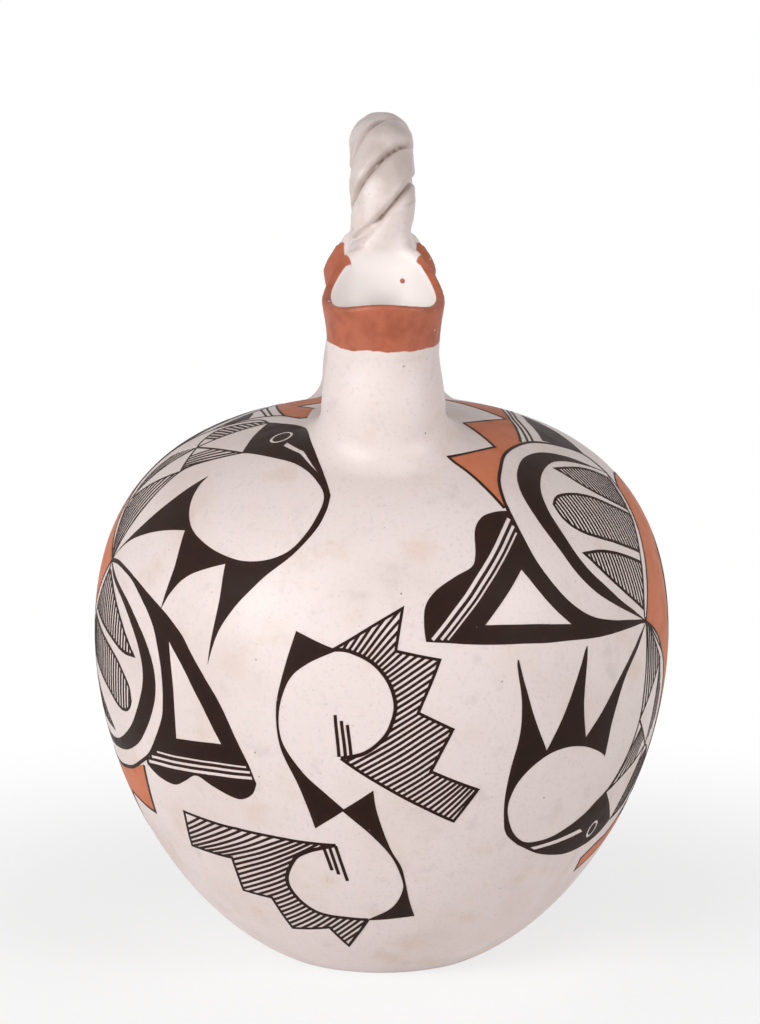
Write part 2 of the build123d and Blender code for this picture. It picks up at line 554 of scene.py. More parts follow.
    def material(self) -> bpy.types.Material:
        """Puts the material together.

        Returns:
            The finished material.
        """
        net = Net(bpy.data.materials.new(self.name))
        band, within, marks = self.masks(net)
        rust = net.mix(self.streaks.mask(net), self.rust, self.deep)
        # Painted light: the inside of the mouth is tinted lighter.
        slip = net.mix(within * self.mouth_light_share, self.colours(net), self.mouth_light)
        # Partly wear and partly painted shade: the rope's upper part is greyer.
        slip = net.mix(marks * self.worn_and_shaded_share, slip, self.worn_and_shaded)
        # Painted shade: the slip darkens in the rope's grooves, where the hollow attribute is high.
        hollow = net.node("Attribute", {"attribute_name": "hollow"}, out="Fac")
        clay = net.mix(hollow * (self.groove_shade_least + self.darkening.value(net)), slip, self.groove)
        colour = net.mix(band * (1 - self.chips.mask(net) * self.chip_loss), clay, rust)
        roughness = self.roughness(net) + band * self.band_roughness
        height = self.relief(net) + band * self.band_relief
        return net.finish(net.surface(colour, roughness, height, self.depth))


@dataclass(frozen=True)
class Paint:
    """Brushed mineral or plant paint, thinner and browner at the borders of its film.

    Args:
        name: the material's name.
        colour: the full film.
        thin: the thin film.
        worn: slip that shows through where a fleck has come off.
        streaks: where the brush has left streaks.
        flecks: where flecks have come off.
        border_thinning: share of the thin colour at the film's borders.
        streak_thinning: share of the thin colour in the brush's streaks.
        fleck_wear: share of the worn colour in a fleck.
        base_roughness: roughness between the streaks.
        streak_roughness: how much rougher the streaks are.
        tooth: relief of the paint's grain.
        depth: real height of that relief.
        shine: strength of the reflections.
    """

    name: str
    colour: Colour
    thin: Colour
    worn: Colour
    streaks: Patches = Patches(6, 4, 0.4, 0.8)
    flecks: Spots = Spots(5.0, 0.16, 0.08)
    border_thinning: float = 0.55
    streak_thinning: float = 0.35
    fleck_wear: float = 0.7
    base_roughness: float = 0.5
    streak_roughness: float = 0.14
    tooth: Ripple = Ripple(1.1, 3)
    depth: float = 0.03
    shine: float = 0.1

    def material(self) -> bpy.types.Material:
        """Puts the material together.

        Returns:
            The finished material.
        """
        net = Net(bpy.data.materials.new(self.name))
        film = net.node("Attribute", {"attribute_name": "film"}, out="Fac")
        streaks = self.streaks.mask(net)
        thinness = (1 - film) * self.border_thinning + streaks * self.streak_thinning
        colour = net.mix(thinness, self.colour, self.thin)
        colour = net.mix(self.flecks.mask(net) * self.fleck_wear, colour, self.worn)
        roughness = self.base_roughness + streaks * self.streak_roughness
        height = self.tooth.value(net)
        return net.finish(net.surface(colour, roughness, height, self.depth, Specular_IOR_Level=self.shine))


BLACK_PAINT = Paint("black_paint", (36, 20, 14), (52, 31, 22), (140, 118, 106))
RUST_PAINT = Paint("rust_paint", (196, 118, 86), (183, 102, 70), (222, 192, 176))


CURVE_STEP = 1.4
LINE_STEP = 2.0
OVAL_STEP = 1.5
LEAST_OVAL = 12
SAME_PLACE = 0.02


def curve(*points: Point, closed: bool = False) -> Path:
    """A smooth Catmull-Rom line through points.

    Args:
        points: where the line passes.
        closed: whether it runs back to its start.

    Returns:
        The line's points, close together.
    """
    line: Path = []
    padded = (points[-1], *points, *points[:2]) if closed else (points[0], *points, points[-1])
    for a, b, c, d in zip(padded, padded[1:], padded[2:], padded[3:]):
        count = max(2, math.ceil(math.dist(b, c) / CURVE_STEP))
        for index in range(count):
            t = index / count
            weights = (
                -0.5 * t + t * t - 0.5 * t**3,
                1 - 2.5 * t * t + 1.5 * t**3,
                0.5 * t + 2 * t * t - 1.5 * t**3,
                -0.5 * t * t + 0.5 * t**3,
            )
            line.append(tuple(sum(w * p[k] for w, p in zip(weights, (a, b, c, d))) for k in (0, 1)))
    return line if closed else line + [points[-1]]


def straight(*points: Point) -> Path:
    """A line with corners.

    Args:
        points: its ends and corners.

    Returns:
        The line's points, in short steps.
    """
    line: Path = []
    for a, b in zip(points, points[1:]):
        count = max(1, math.ceil(math.dist(a, b) / LINE_STEP))
        line += [(a[0] + (b[0] - a[0]) * k / count, a[1] + (b[1] - a[1]) * k / count) for k in range(count)]
    return line + [points[-1]]


def oval(middle: Point, wide: float, tall: float, tilt: float = 0.0) -> Path:
    """A closed oval.

    Args:
        middle: its centre.
        wide: half its length.
        tall: half its width.
        tilt: turn of its length in degrees.

    Returns:
        Its points.
    """
    count = max(LEAST_OVAL, round(math.pi * (wide + tall) / OVAL_STEP))
    turn = math.radians(tilt)
    ring = [(wide * math.cos(a), tall * math.sin(a)) for a in (math.tau * k / count for k in range(count))]
    cos, sin = math.cos(turn), math.sin(turn)
    return [(middle[0] + x * cos - y * sin, middle[1] + x * sin + y * cos) for x, y in ring]


def outline(*lines: Path) -> Path:
    """Lines joined end to end into one closed outline.

    Args:
        lines: the lines in turn.

    Returns:
        The outline's points, counter-clockwise and without doubles.
    """
    closed: Path = []
    for point in (p for line in lines for p in line):
        if not closed or math.dist(closed[-1], point) > SAME_PLACE:
            closed.append(point)
    if math.dist(closed[0], closed[-1]) <= SAME_PLACE:
        closed.pop()
    area = sum(a[0] * b[1] - b[0] * a[1] for a, b in zip(closed, closed[1:] + closed[:1]))
    return closed if area > 0 else closed[::-1]


def turned(point: Point, degrees: float, scale: float = 1.0) -> Point:
    """A point turned and scaled about the origin.

    Args:
        point: the point.
        degrees: the turn, counter-clockwise.
        scale: the scale.

    Returns:
        The new point.
    """
    a = math.radians(degrees)
    cos, sin = scale * math.cos(a), scale * math.sin(a)
    return point[0] * cos - point[1] * sin, point[0] * sin + point[1] * cos


def inside(points: np.ndarray, shape: Path) -> np.ndarray:
    """Which points lie inside a closed outline.

    Args:
        points: the points, one in each row.
        shape: the outline.

    Returns:
        True for each point inside.
    """
    ring = np.array(shape)
    found = np.zeros(len(points), dtype=bool)
    near = np.flatnonzero(((points >= ring.min(axis=0)) & (points <= ring.max(axis=0))).all(axis=1))
    x, y = points[near, 0], points[near, 1]
    odd = np.zeros(len(near), dtype=bool)
    for (ax, ay), (bx, by) in zip(ring, np.roll(ring, -1, axis=0)):
        if ay != by:
            odd ^= ((ay > y) != (by > y)) & (x < (bx - ax) * (y - ay) / (by - ay) + ax)
    found[near] = odd
    return found


@dataclass(frozen=True)
class Hatching:
    """Fine lines that fill an outline.

    Args:
        spine: places that the lines pass in turn, each with the lines' angle there in degrees.
        pitch: distance from line to line.
        width: width of a line.
        stride: how finely the spine is followed.
    """

    spine: Spine
    pitch: float
    width: float
    stride: float = 0.05

    def strips(self, shape: Path) -> list[Path]:
        """The hatching's lines inside an outline.

        Args:
            shape: the outline.

        Returns:
            The lines as short quads, which run a little past the outline.
        """
        made: list[Path] = []
        gone = self.pitch / 2
        for start, end in zip(self.spine, self.spine[1:]):
            length = math.dist(start[:2], end[:2])
            heading = math.degrees(math.atan2(end[1] - start[1], end[0] - start[0]))
            steps = max(1, round(length / self.stride))
            for k in range(steps):
                x, y, angle = (a + (b - a) * k / steps for a, b in zip(start, end))
                gone += length / steps * abs(math.sin(math.radians(angle - heading)))
                if gone >= self.pitch:
                    gone -= self.pitch
                    made += self._strip((x, y), math.radians(angle), shape)
        return made

    def _strip(self, middle: Point, angle: float, shape: Path) -> list[Path]:
        """One line, wherever it crosses the outline.

        Args:
            middle: a place on the line.
            angle: the line's angle in radians.
            shape: the outline.

        Returns:
            The line's quads.
        """
        along = (math.cos(angle), math.sin(angle))
        cuts = []
        for a, b in zip(shape, shape[1:] + shape[:1]):
            ra = (a[0] - middle[0]) * along[1] - (a[1] - middle[1]) * along[0]
            rb = (b[0] - middle[0]) * along[1] - (b[1] - middle[1]) * along[0]
            if (ra > 0) != (rb > 0):
                share = ra / (ra - rb)
                x, y = a[0] + (b[0] - a[0]) * share, a[1] + (b[1] - a[1]) * share
                cuts.append((x - middle[0]) * along[0] + (y - middle[1]) * along[1])
        cuts.sort()
        across = (-along[1] * self.width / 2, along[0] * self.width / 2)
        corners = ((0, -1), (1, -1), (1, 1), (0, 1))
        made: list[Path] = []
        for low, high in zip(cuts[::2], cuts[1::2]):
            low, high = low - self.width, high + self.width
            count = max(1, math.ceil((high - low) / LINE_STEP))
            for k in range(count):
                ends = [low + (high - low) * (k + j) / count for j in (0, 1)]
                spots = [(middle[0] + along[0] * e, middle[1] + along[1] * e) for e in ends]
                quad = [(spots[i][0] + s * across[0], spots[i][1] + s * across[1]) for i, s in corners]
                made.append(outline(quad))
        return made


@dataclass
class Layer:
    """One coat of the drawing: outlines filled with an ink, kept inside another outline if one is given."""

    ink: Ink
    shapes: list[Path]
    within: Path | None = None


@dataclass
class Sketch:
    """A flat drawing in millimetres, painted from the first layer to the last.

    Args:
        layers: the coats.
        mitre: least cosine that a bend counts with, which keeps the corners of sharp bends short.
        grid: spacing of extra points that let a film follow the curved wall.
        grid_start: where the grid starts, in spacings, so that it misses the drawing's own points.
        weld: distance under which points are merged.
    """

    layers: list[Layer] = field(default_factory=list)
    mitre: float = 0.45
    grid: float = 3.0
    grid_start: Point = (0.31, 0.37)
    weld: float = 1e-4

    def fill(self, ink: Ink, *lines: Path) -> None:
        """Fills one closed outline."""
        self.layers.append(Layer(ink, [outline(*lines)]))

    def line(self, path: Path, width: float, closed: bool = False, ink: Ink = Ink.BLACK) -> None:
        """Draws a line of even width.

        Args:
            path: its middle.
            width: its width.
            closed: whether it runs back to its start.
            ink: what it is painted with.
        """
        path = [p for k, p in enumerate(path) if k == 0 or math.dist(p, path[k - 1]) > SAME_PLACE]
        count = len(path)
        sides: list[tuple[Point, Point]] = []
        for k, here in enumerate(path):
            before = path[(k - 1) % count] if closed or k else here
            after = path[(k + 1) % count] if closed or k < count - 1 else here
            arriving = Vector((here[0] - before[0], here[1] - before[1])).normalized()
            leaving = Vector((after[0] - here[0], after[1] - here[1])).normalized()
            along = (arriving + leaving).normalized()
            step = arriving if arriving.length > 0 else leaving
            reach = width / 2 / max(self.mitre, abs(along.dot(step)))
            across = Vector((-along.y, along.x)) * reach
            left = (here[0] + across.x, here[1] + across.y)
            right = (here[0] - across.x, here[1] - across.y)
            sides.append((left, right))
        pairs = zip(sides, sides[1:] + sides[:1] if closed else sides[1:])
        self.layers.append(Layer(ink, [outline([a[0], a[1], b[1], b[0]]) for a, b in pairs]))

    def hatch(self, shape: Path, hatching: Hatching) -> None:
        """Fills an outline with fine lines on bare slip."""
        self.layers.append(Layer(Ink.BARE, [shape]))
        self.layers.append(Layer(Ink.BLACK, hatching.strips(shape), shape))

    def add(self, other: "Sketch", move: Callable[[Point], Point]) -> None:
        """Copies another sketch's layers on top.

        Args:
            other: the other sketch.
            move: gives each of its points a new place.
        """
        for layer in other.layers:
            shapes = [outline([move(p) for p in shape]) for shape in layer.shapes]
            within = outline([move(p) for p in layer.within]) if layer.within else None
            self.layers.append(Layer(layer.ink, shapes, within))

    def triangles(self) -> tuple[np.ndarray, dict[Ink, np.ndarray]]:
        """Cuts the drawing into triangles of one ink each.

        Returns:
            The points, and for each ink the triangles painted with it.
        """
        points: Path = []
        edges: list[tuple[int, int]] = []
        for layer in self.layers:
            for shape in layer.shapes + ([layer.within] if layer.within else []):
                first, count = len(points), len(shape)
                points += shape
                edges += [(first + k, first + (k + 1) % count) for k in range(count)]
        lows = [min(p[k] for p in points) for k in (0, 1)]
        spans = [max(p[k] for p in points) - lows[k] for k in (0, 1)]
        columns, rows = [int(span / self.grid) + 1 for span in spans]
        start_x, start_y = self.grid_start
        points += [
            (lows[0] + self.grid * (i + start_x + 0.5 * (j % 2)), lows[1] + self.grid * (j + start_y))
            for i in range(columns)
            for j in range(rows)
        ]
        made = delaunay_2d_cdt([Vector(p) for p in points], edges, [], 0, self.weld, False)
        corners = np.array([tuple(p) for p in made[0]])
        faces = np.array(made[2])
        middles = corners[faces].mean(axis=1)
        inks = np.zeros(len(faces), dtype=int)
        order = list(Ink)
        for layer in self.layers:
            fence = inside(middles, layer.within) if layer.within else True
            for shape in layer.shapes:
                inks[inside(middles, shape) & fence] = order.index(layer.ink)
        painted = {ink: faces[inks == order.index(ink)] for ink in order[1:]}
        return corners, painted


@dataclass(frozen=True)
class Chart:
    """A flat map of the jar's body about one of its points, as a stereographic view from the body's middle.

    Args:
        azimuth: degrees round the jar, from the front towards +X.
        rise: degrees above the level of the body's middle.
        middle: height of the body's middle.
        ball: radius of the ball that the map is drawn on.
    """

    azimuth: float
    rise: float
    middle: float = 112.0
    ball: float = 100.0

    def axes(self) -> tuple[Vector, Vector, Vector]:
        """The map's directions.

        Returns:
            The directions to the right, upwards and outwards.
        """
        a, r = math.radians(self.azimuth), math.radians(self.rise)
        out = Vector((math.sin(a) * math.cos(r), -math.cos(a) * math.cos(r), math.sin(r)))
        right = Vector((math.cos(a), math.sin(a), 0))
        return right, out.cross(right), out

    def direction(self, point: Point) -> Vector:
        """The direction of a point on the map.

        Args:
            point: the point.

        Returns:
            Its direction from the body's middle.
        """
        right, up, out = self.axes()
        x, y = point[0] / self.ball, point[1] / self.ball
        far = (x * x + y * y) / 4
        return ((1 - far) * out + x * right + y * up) / (1 + far)

    def flat(self, direction: Vector) -> Point:
        """The point on the map that lies in a direction.

        Args:
            direction: the direction from the body's middle.

        Returns:
            The point.
        """
        right, up, out = self.axes()
        scale = 2 * self.ball / (1 + direction.dot(out))
        return scale * direction.dot(right), scale * direction.dot(up)

    def about(self, point: Point) -> "Chart":
        """A chart about another point of this one."""
        d = self.direction(point)
        return Chart(math.degrees(math.atan2(d.x, -d.y)), math.degrees(math.asin(d.z)))


class Skin:
    """The outside of the jar's body, onto which paint is laid.

    Attributes:
        start: distance in metres from the chart's middle at which the wall is looked for.
    """

    start: float = 0.25

    def __init__(self, nodes: Iterable[bpy.types.Object]) -> None:
        """Gathers the wall.

        Args:
            nodes: the body's pieces.
        """
        corners: list[Vector] = []
        faces: list[list[int]] = []
        for node in nodes:
            first = len(corners)
            corners += [node.matrix_world @ v.co for v in node.data.vertices]
            faces += [[first + k for k in face.vertices] for face in node.data.polygons]
        self.tree = BVHTree.FromPolygons(corners, faces)

    def lay(self, chart: Chart, point: Point) -> tuple[Vector, Vector]:
        """Where a point of a chart lies on the wall, looked for from well outside it.

        Args:
            chart: the map.
            point: the point on it.

        Returns:
            The place in metres and the wall's direction there.
        """
        middle = Vector((0, 0, chart.middle * MM))
        way = chart.direction(point)
        place, normal, _, _ = self.tree.ray_cast(middle + self.start * way, -way)
        return place, normal


def add_piece(
    name: str,
    bm: bmesh.types.BMesh,
    material: bpy.types.Material,
    sharp: float,
) -> bpy.types.Object:
    """Turns a bmesh into a smooth piece of the jar.

    Args:
        name: the piece's name.
        bm: its mesh, which is freed.
        material: its finish.
        sharp: angle in degrees over which an edge stays sharp.

    Returns:
        The piece.
    """
    for face in bm.faces:
        face.smooth = True
    for edge in bm.edges:
        edge.smooth = edge.calc_face_angle(math.pi) < math.radians(sharp)
    mesh = bpy.data.meshes.new(name)
    bm.to_mesh(mesh)
    bm.free()
    mesh.materials.append(material)
    piece = bpy.data.objects.new(name, mesh)
    bpy.context.scene.collection.objects.link(piece)
    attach(piece, "root")
    return piece


@dataclass
class PaintFilm:
    """Films of paint, one piece for each ink, from one sketch.

    Args:
        name: start of the pieces' names.
        chart: the map that the sketch is drawn on.
        sketch: the drawing.
        lift: how far the film stands out of the wall.
        depth: the film's thickness.
        wobble: sway of the brush.
        wave: width of that sway.
        sharp: angle in degrees over which the film's edges stay sharp.
    """

    name: str
    chart: Chart
    sketch: Sketch
    lift: float = 0.11
    depth: float = 0.3
    wobble: float = 0.28
    wave: float = 13.0
    sharp: float = 40.0

    def build(self, skin: Skin, inks: Mapping[Ink, bpy.types.Material]) -> list[bpy.types.Object]:
        """Lays the films on the wall.

        Args:
            skin: the wall.
            inks: the material of each ink.

        Returns:
            The pieces.
        """
        points, painted = self.sketch.triangles()
        pieces = []
        for ink, material in inks.items():
            if len(painted[ink]):
                bm = self._film(skin, points, painted[ink])
                name = f"{self.name}_{ink.value}"
                pieces.append(add_piece(name, bm, material, self.sharp))
        return pieces

    def _film(self, skin: Skin, points: np.ndarray, faces: np.ndarray) -> bmesh.types.BMesh:
        """One film as a thin closed shell, with a note of where its borders are.

        Args:
            skin: the wall.
            points: the sketch's points.
            faces: the film's triangles.

        Returns:
            The mesh.
        """
        bm = bmesh.new()
        film = bm.verts.layers.float.new("film")
        outwards = bm.verts.layers.float_vector.new("outwards")
        corners: dict[int, bmesh.types.BMVert] = {}
        for index in np.unique(faces):
            x, y = map(float, points[index])
            spot = Vector((x / self.wave, y / self.wave, self.chart.azimuth))
            sway = noise.noise_vector(spot) * self.wobble
            place, normal = skin.lay(self.chart, (x + sway.x, y + sway.y))
            corners[index] = bm.verts.new(place + normal * (self.lift - self.depth) * MM)
            corners[index][outwards] = normal
        base = [bm.faces.new([corners[k] for k in face]) for face in faces]
        for corner in bm.verts:
            corner[film] = 0.0 if corner.is_boundary else 1.0
        grown = bmesh.ops.extrude_face_region(bm, geom=base, use_keep_orig=True)["geom"]
        bmesh.ops.reverse_faces(bm, faces=base)
        for corner in grown:
            if isinstance(corner, bmesh.types.BMVert):
                corner.co += corner[outwards] * self.depth * MM
        bm.verts.layers.float_vector.remove(outwards)
        bm.normal_update()
        return bm


@dataclass(frozen=True)
class ScrollArm:
    """Half of the bow-tied scroll: a black crescent, a hatched terrace and three strokes about a round field.

    Args:
        horn: the crescent's upper tip.
        back: its outer edge, from the horn.
        heel: its lower corner at the bow.
        belly: its inner edge, from the bow's knot.
        notch: end of that edge beside the horn.
        field: the round field's edge, along which the terrace lies.
        steps: the terrace's steps, from the field's end back to its start.
        spine: the terrace's hatching.
        strokes: ends of the strokes in the field.
        knot: the bow's knot.
        pitch: distance from hatching line to hatching line.
        fine: width of a hatching line.
        step_line: width of the steps' line.
        field_line: width of the field's line.
        stroke_line: width of the strokes.
    """

    horn: Point
    back: tuple[Point, ...]
    heel: Point
    belly: tuple[Point, ...]
    notch: Point
    field: tuple[Point, ...]
    steps: tuple[Point, ...]
    spine: Spine
    strokes: tuple[tuple[Point, Point], ...]
    knot: Point = (0.5, 0.1)
    pitch: float = 1.85
    fine: float = 1.0
    step_line: float = 1.05
    field_line: float = 1.35
    stroke_line: float = 1.1

    def draw(self, sketch: Sketch) -> None:
        """Draws the arm with the bow's knot at the origin.

        Args:
            sketch: the drawing that it is added to.
        """
        edge = curve(*self.field)
        terrace = outline(edge, straight(self.field[-1], *self.steps, self.field[0]))
        sketch.hatch(terrace, Hatching(self.spine, self.pitch, self.fine))
        sketch.line(straight(self.field[0], *self.steps[::-1], self.field[-1]), self.step_line)
        sketch.line(edge, self.field_line)
        sketch.fill(
            Ink.BLACK,
            curve(self.horn, *self.back, self.heel),
            straight(self.heel, self.knot),
            curve(self.knot, *self.belly, self.notch),
            straight(self.notch, self.horn),
        )
        for start, end in self.strokes:
            sketch.line(straight(start, end), self.stroke_line)


UPPER_ARM = ScrollArm(
    horn=(-16, 62.2),
    back=((-18.8, 51), (-21.9, 35.5), (-20.6, 21.6), (-13.6, 6)),
    heel=(-9.4, -7.8),
    belly=((-6.4, 6.9), (-13.4, 13.6), (-19.9, 23.5), (-20.9, 33.4), (-17.6, 44.8), (-11.2, 51.2)),
    notch=(-0.8, 56.2),
    field=(
        (-2.5, 56.4), (3, 56), (10.8, 52.4), (16.4, 45.5), (18.5, 37.5), (17, 30.6), (13.8, 25.4),
        (7.6, 20.7), (0, 18.9),
    ),
    steps=(
        (36, -7.6), (45, 2.6), (29.2, 12.8), (37.6, 27), (26.2, 34.2), (34.4, 52.2), (19.1, 56), (22, 71),
    ),
    spine=((-4, 57, 62), (12, 60, 51), (22, 50, 33), (24, 36, 30), (20, 16, 29), (28, 2, 31), (40, -5, 44)),
    strokes=(((-1.7, 34.2), (-0.6, 19.4)), ((0.4, 32.2), (1.5, 19.8)), ((2.4, 30.8), (3.3, 20.2))),
)
LOWER_ARM = ScrollArm(
    horn=(-20.4, 47.8),
    back=((-19.1, 38.8), (-17.8, 25), (-14.6, 15.9), (-11.1, 1.2)),
    heel=(-10.3, -7.3),
    belly=((-8, 8.8), (-14.4, 18.6), (-17.4, 29.1), (-17, 35.2), (-13.4, 42.1), (-6.5, 46.8)),
    notch=(-4.5, 48.2),
    field=(
        (-5, 47.9), (0.7, 47.6), (11.1, 45.9), (18.4, 39.2), (20.9, 31.5), (17.4, 21.7), (12.6, 17.6),
        (7.5, 15.4), (3, 13.9),
    ),
    steps=(
        (19.8, 13.9), (38.3, 14.8), (62.2, 18.2), (60.5, 34.5), (41.4, 29.4), (38.9, 44.9), (27.5, 43.2),
        (21.8, 58.4), (8.2, 53.4), (2.9, 64.1),
    ),
    spine=((-5, 52, 50), (8, 52, 48), (20, 46, 43), (28, 32, 38), (32, 22, 33), (48, 24, 40), (64, 26, 44)),
    strokes=(((0.2, 28.9), (3.1, 14.2)), ((2.9, 26.3), (5.1, 15.2)), ((5, 24.7), (7.1, 15.5))),
)


@dataclass(frozen=True)
class Feather:
    """One hatched feather of a fan.

    Args:
        upper: its upper edge, from the fan's strip outwards.
        tip: its tip.
        lower: its lower edge, back to the strip.
        slant: the hatching's angles before the strip and past the tip.
        pitch: distance from line to line, which is twice a line's width.
        reach: how far to both sides of the feather's middle the slant changes.
        edge_line: width of the line round the feather.
    """

    upper: tuple[Point, ...]
    tip: Point
    lower: tuple[Point, ...]
    slant: Point
    pitch: float = 1.7
    reach: float = 32.0
    edge_line: float = 1.05

    def draw(self, sketch: Sketch) -> None:
        """Draws the feather.

        Args:
            sketch: the drawing that it is added to.
        """
        shape = outline(
            curve(*self.upper, self.tip),
            curve(self.tip, *self.lower),
            straight(self.lower[-1], self.upper[0]),
        )
        x, y = [sum(p[k] for p in shape) / len(shape) for k in (0, 1)]
        spine = ((x + self.reach, y, self.slant[0]), (x - self.reach, y, self.slant[1]))
        sketch.hatch(shape, Hatching(spine, self.pitch, self.pitch / 2))
        sketch.line(shape, self.edge_line, closed=True)


@dataclass(frozen=True)
class Fan:
    """The feather fan with its crescent, the striped triangle at its foot and the rust steps behind it.

    Args:
        hub: where the medallion's figures meet.
        tail: the fan's far end.
        rim: the fan's outer edge, from the hub to the tail.
        band_out: the crescent's outer edge.
        band_in: the crescent's inner edge.
        strip_in: the edge that the feathers stand on.
        strip_out: the fan's straight side.
        feathers: the feathers.
        corner: the triangle's far corner.
        top: the triangle's corner at the rim.
        low_edge: its long side, from the far corner to the hub.
        lobes: its wavy side, from the far corner to the top.
        hidden: a point under the fan, past which the triangle's last side runs.
        inset: the bare triangle in it, of which the first side is straight.
        inset_side: points of the bare triangle's last side.
        stripes: ends and width of the bare stripes.
        flames: the rust steps.
        wedge: the black wedge at the rim.
        bars: the lines beside the wedge.
    """

    hub: Point = (0, 0)
    tail: Point = (22.5, 52.6)
    rim: tuple[Point, ...] = (
        (-14.4, 2.3), (-22.2, 3.8), (-30.6, 6.5), (-37.7, 10.8), (-43.7, 17), (-48.3, 24.9),
        (-51, 35), (-51.2, 46), (-49, 57.4), (-42.8, 67), (-29, 76.4), (-14.8, 79.1), (-1.3, 77.2),
        (12.1, 70.2), (20.6, 63.4),
    )
    band_out: tuple[Point, ...] = (
        (-14.5, 6.5), (-22.2, 10.9), (-28.6, 15.9), (-33.7, 22.2), (-37.6, 30.9), (-40.6, 42), (-40.8, 52),
        (-39, 58.9), (-34, 65.4), (-26, 70.2), (-17.9, 72.1), (-7.4, 70.8), (2.9, 65.6), (13.3, 58),
    )
    band_in: tuple[Point, ...] = (
        (-8.1, 5), (-15.6, 9.8), (-22.2, 16), (-28.3, 22.7), (-32.3, 31.4), (-34, 41), (-33.6, 48),
        (-30, 55.5), (-22.3, 61.9), (-11.9, 64.9), (-2.4, 63.8), (13, 57.2),
    )
    strip_in: tuple[Point, ...] = ((-0.6, 4), (4.9, 19.3), (13.1, 34.8), (18.3, 48))
    strip_out: tuple[Point, ...] = ((3.7, 7.6), (9.4, 19.6), (14.6, 30.6), (19, 42))
    feathers: tuple[Feather, ...] = (
        Feather(
            upper=((18.3, 51.1), (8, 56.7), (-2.4, 60)),
            tip=(-12.5, 62.1),
            lower=((-6.5, 51.8), (3, 43.8), (13.6, 37.6)),
            slant=(80, 100),
        ),
        Feather(
            upper=((13.6, 35.1), (2.8, 40.6), (-6.9, 46.2), (-17, 50.1), (-24.8, 51)),
            tip=(-29.3, 48.6),
            lower=((-29.3, 43.1), (-26.5, 38.2), (-20, 33.7), (-7.2, 28.2), (6.3, 22.7)),
            slant=(95, 92),
        ),
        Feather(
            upper=((4.7, 19), (-6.9, 23.8), (-18.4, 27.4)),
            tip=(-27.8, 28.8),
            lower=((-20.6, 19.9), (-11.4, 11.6), (-1, 4.4)),
            slant=(108, 82),
        ),
    )
    corner: Point = (-101.3, 13.8)
    top: Point = (-51.3, 52.7)
    hidden: Point = (-45, 40)
    low_edge: tuple[Point, ...] = ((-83.7, 9), (-63.6, 4.9), (-41.8, 1.8), (-24.8, 0.2))
    lobes: tuple[Point, ...] = (
        (-100.7, 19.7), (-98.2, 27.5), (-92.4, 32.2), (-83.5, 35.1), (-75.6, 36.8),
        (-72.4, 40.7), (-68.1, 49.5), (-62.3, 53.7), (-56.3, 53.9),
    )
    inset: tuple[Point, ...] = ((-77, 14.8), (-57, 30.3), (-53, 21.4), (-48.5, 14.2), (-42.4, 7.5))
    inset_side: tuple[Point, ...] = ()
    stripes: tuple[tuple[Point, Point, float], ...] = (
        ((-98.6, 14), (-52.2, 49.5), 1.5),
        ((-95.2, 13.2), (-52.2, 46.2), 1.2),
        ((-92.7, 12.6), (-52.5, 43.4), 0.75),
    )
    flames: tuple[Point, ...] = (
        (-51.2, 54), (-54.3, 86), (-27.8, 82.4), (-18.2, 105.8), (12.2, 97.9), (20.8, 116.5),
        (33, 141), (48, 110), (30, 104.5), (14, 96.6), (-10.8, 80.3),
    )
    wedge: tuple[Point, ...] = ((3.6, 77.1), (24, 91.3), (41, 98.6), (31.5, 79.4), (21.1, 64))
    bars: tuple[tuple[Point, ...], ...] = (
        ((-6.4, 79.2), (16, 95.2), (34, 103), (50, 107)),
        ((-3.4, 78.3), (18.5, 94), (36, 101.5), (51, 105)),
    )
    rim_line: float = 1.4
    flame_line: float = 1.3
    bar_line: float = 1.0
    strip_line: float = 0.75

    def draw(self, sketch: Sketch) -> None:
        """Draws the fan with the hub of its medallion at the origin.

        Args:
            sketch: the drawing that it is added to.
        """
        rim = curve(self.hub, *self.rim, self.tail)
        sketch.fill(Ink.RUST, straight(*self.flames, self.flames[0]))
        sketch.line(straight(*self.flames), self.flame_line)
        sketch.fill(Ink.BLACK, straight(*self.wedge, self.wedge[0]))
        for bar in self.bars:
            sketch.line(curve(*bar), self.bar_line)
        sketch.fill(
            Ink.BLACK,
            curve(self.hub, *self.low_edge[::-1], self.corner),
            curve(self.corner, *self.lobes, self.top),
            straight(self.top, self.hidden, self.hub),
        )
        for start, end, width in self.stripes:
            sketch.line(straight(start, end), width, ink=Ink.BARE)
        sketch.fill(
            Ink.BARE,
            straight(*self.inset[:2]),
            curve(*self.inset[1:]),
            curve(self.inset[-1], *self.inset_side, self.inset[0]),
        )
        sketch.fill(Ink.BARE, rim, curve(self.tail, *self.strip_out[::-1], self.hub))
        sketch.line(rim, self.rim_line)
        sketch.fill(
            Ink.BLACK,
            curve(self.hub, *self.band_out, self.tail),
            curve(self.tail, *self.band_in[::-1], self.hub),
        )
        for feather in self.feathers:
            feather.draw(sketch)
        for edge in (self.strip_in, self.strip_out):
            sketch.line(curve(self.hub, *edge, self.tail), self.strip_line)


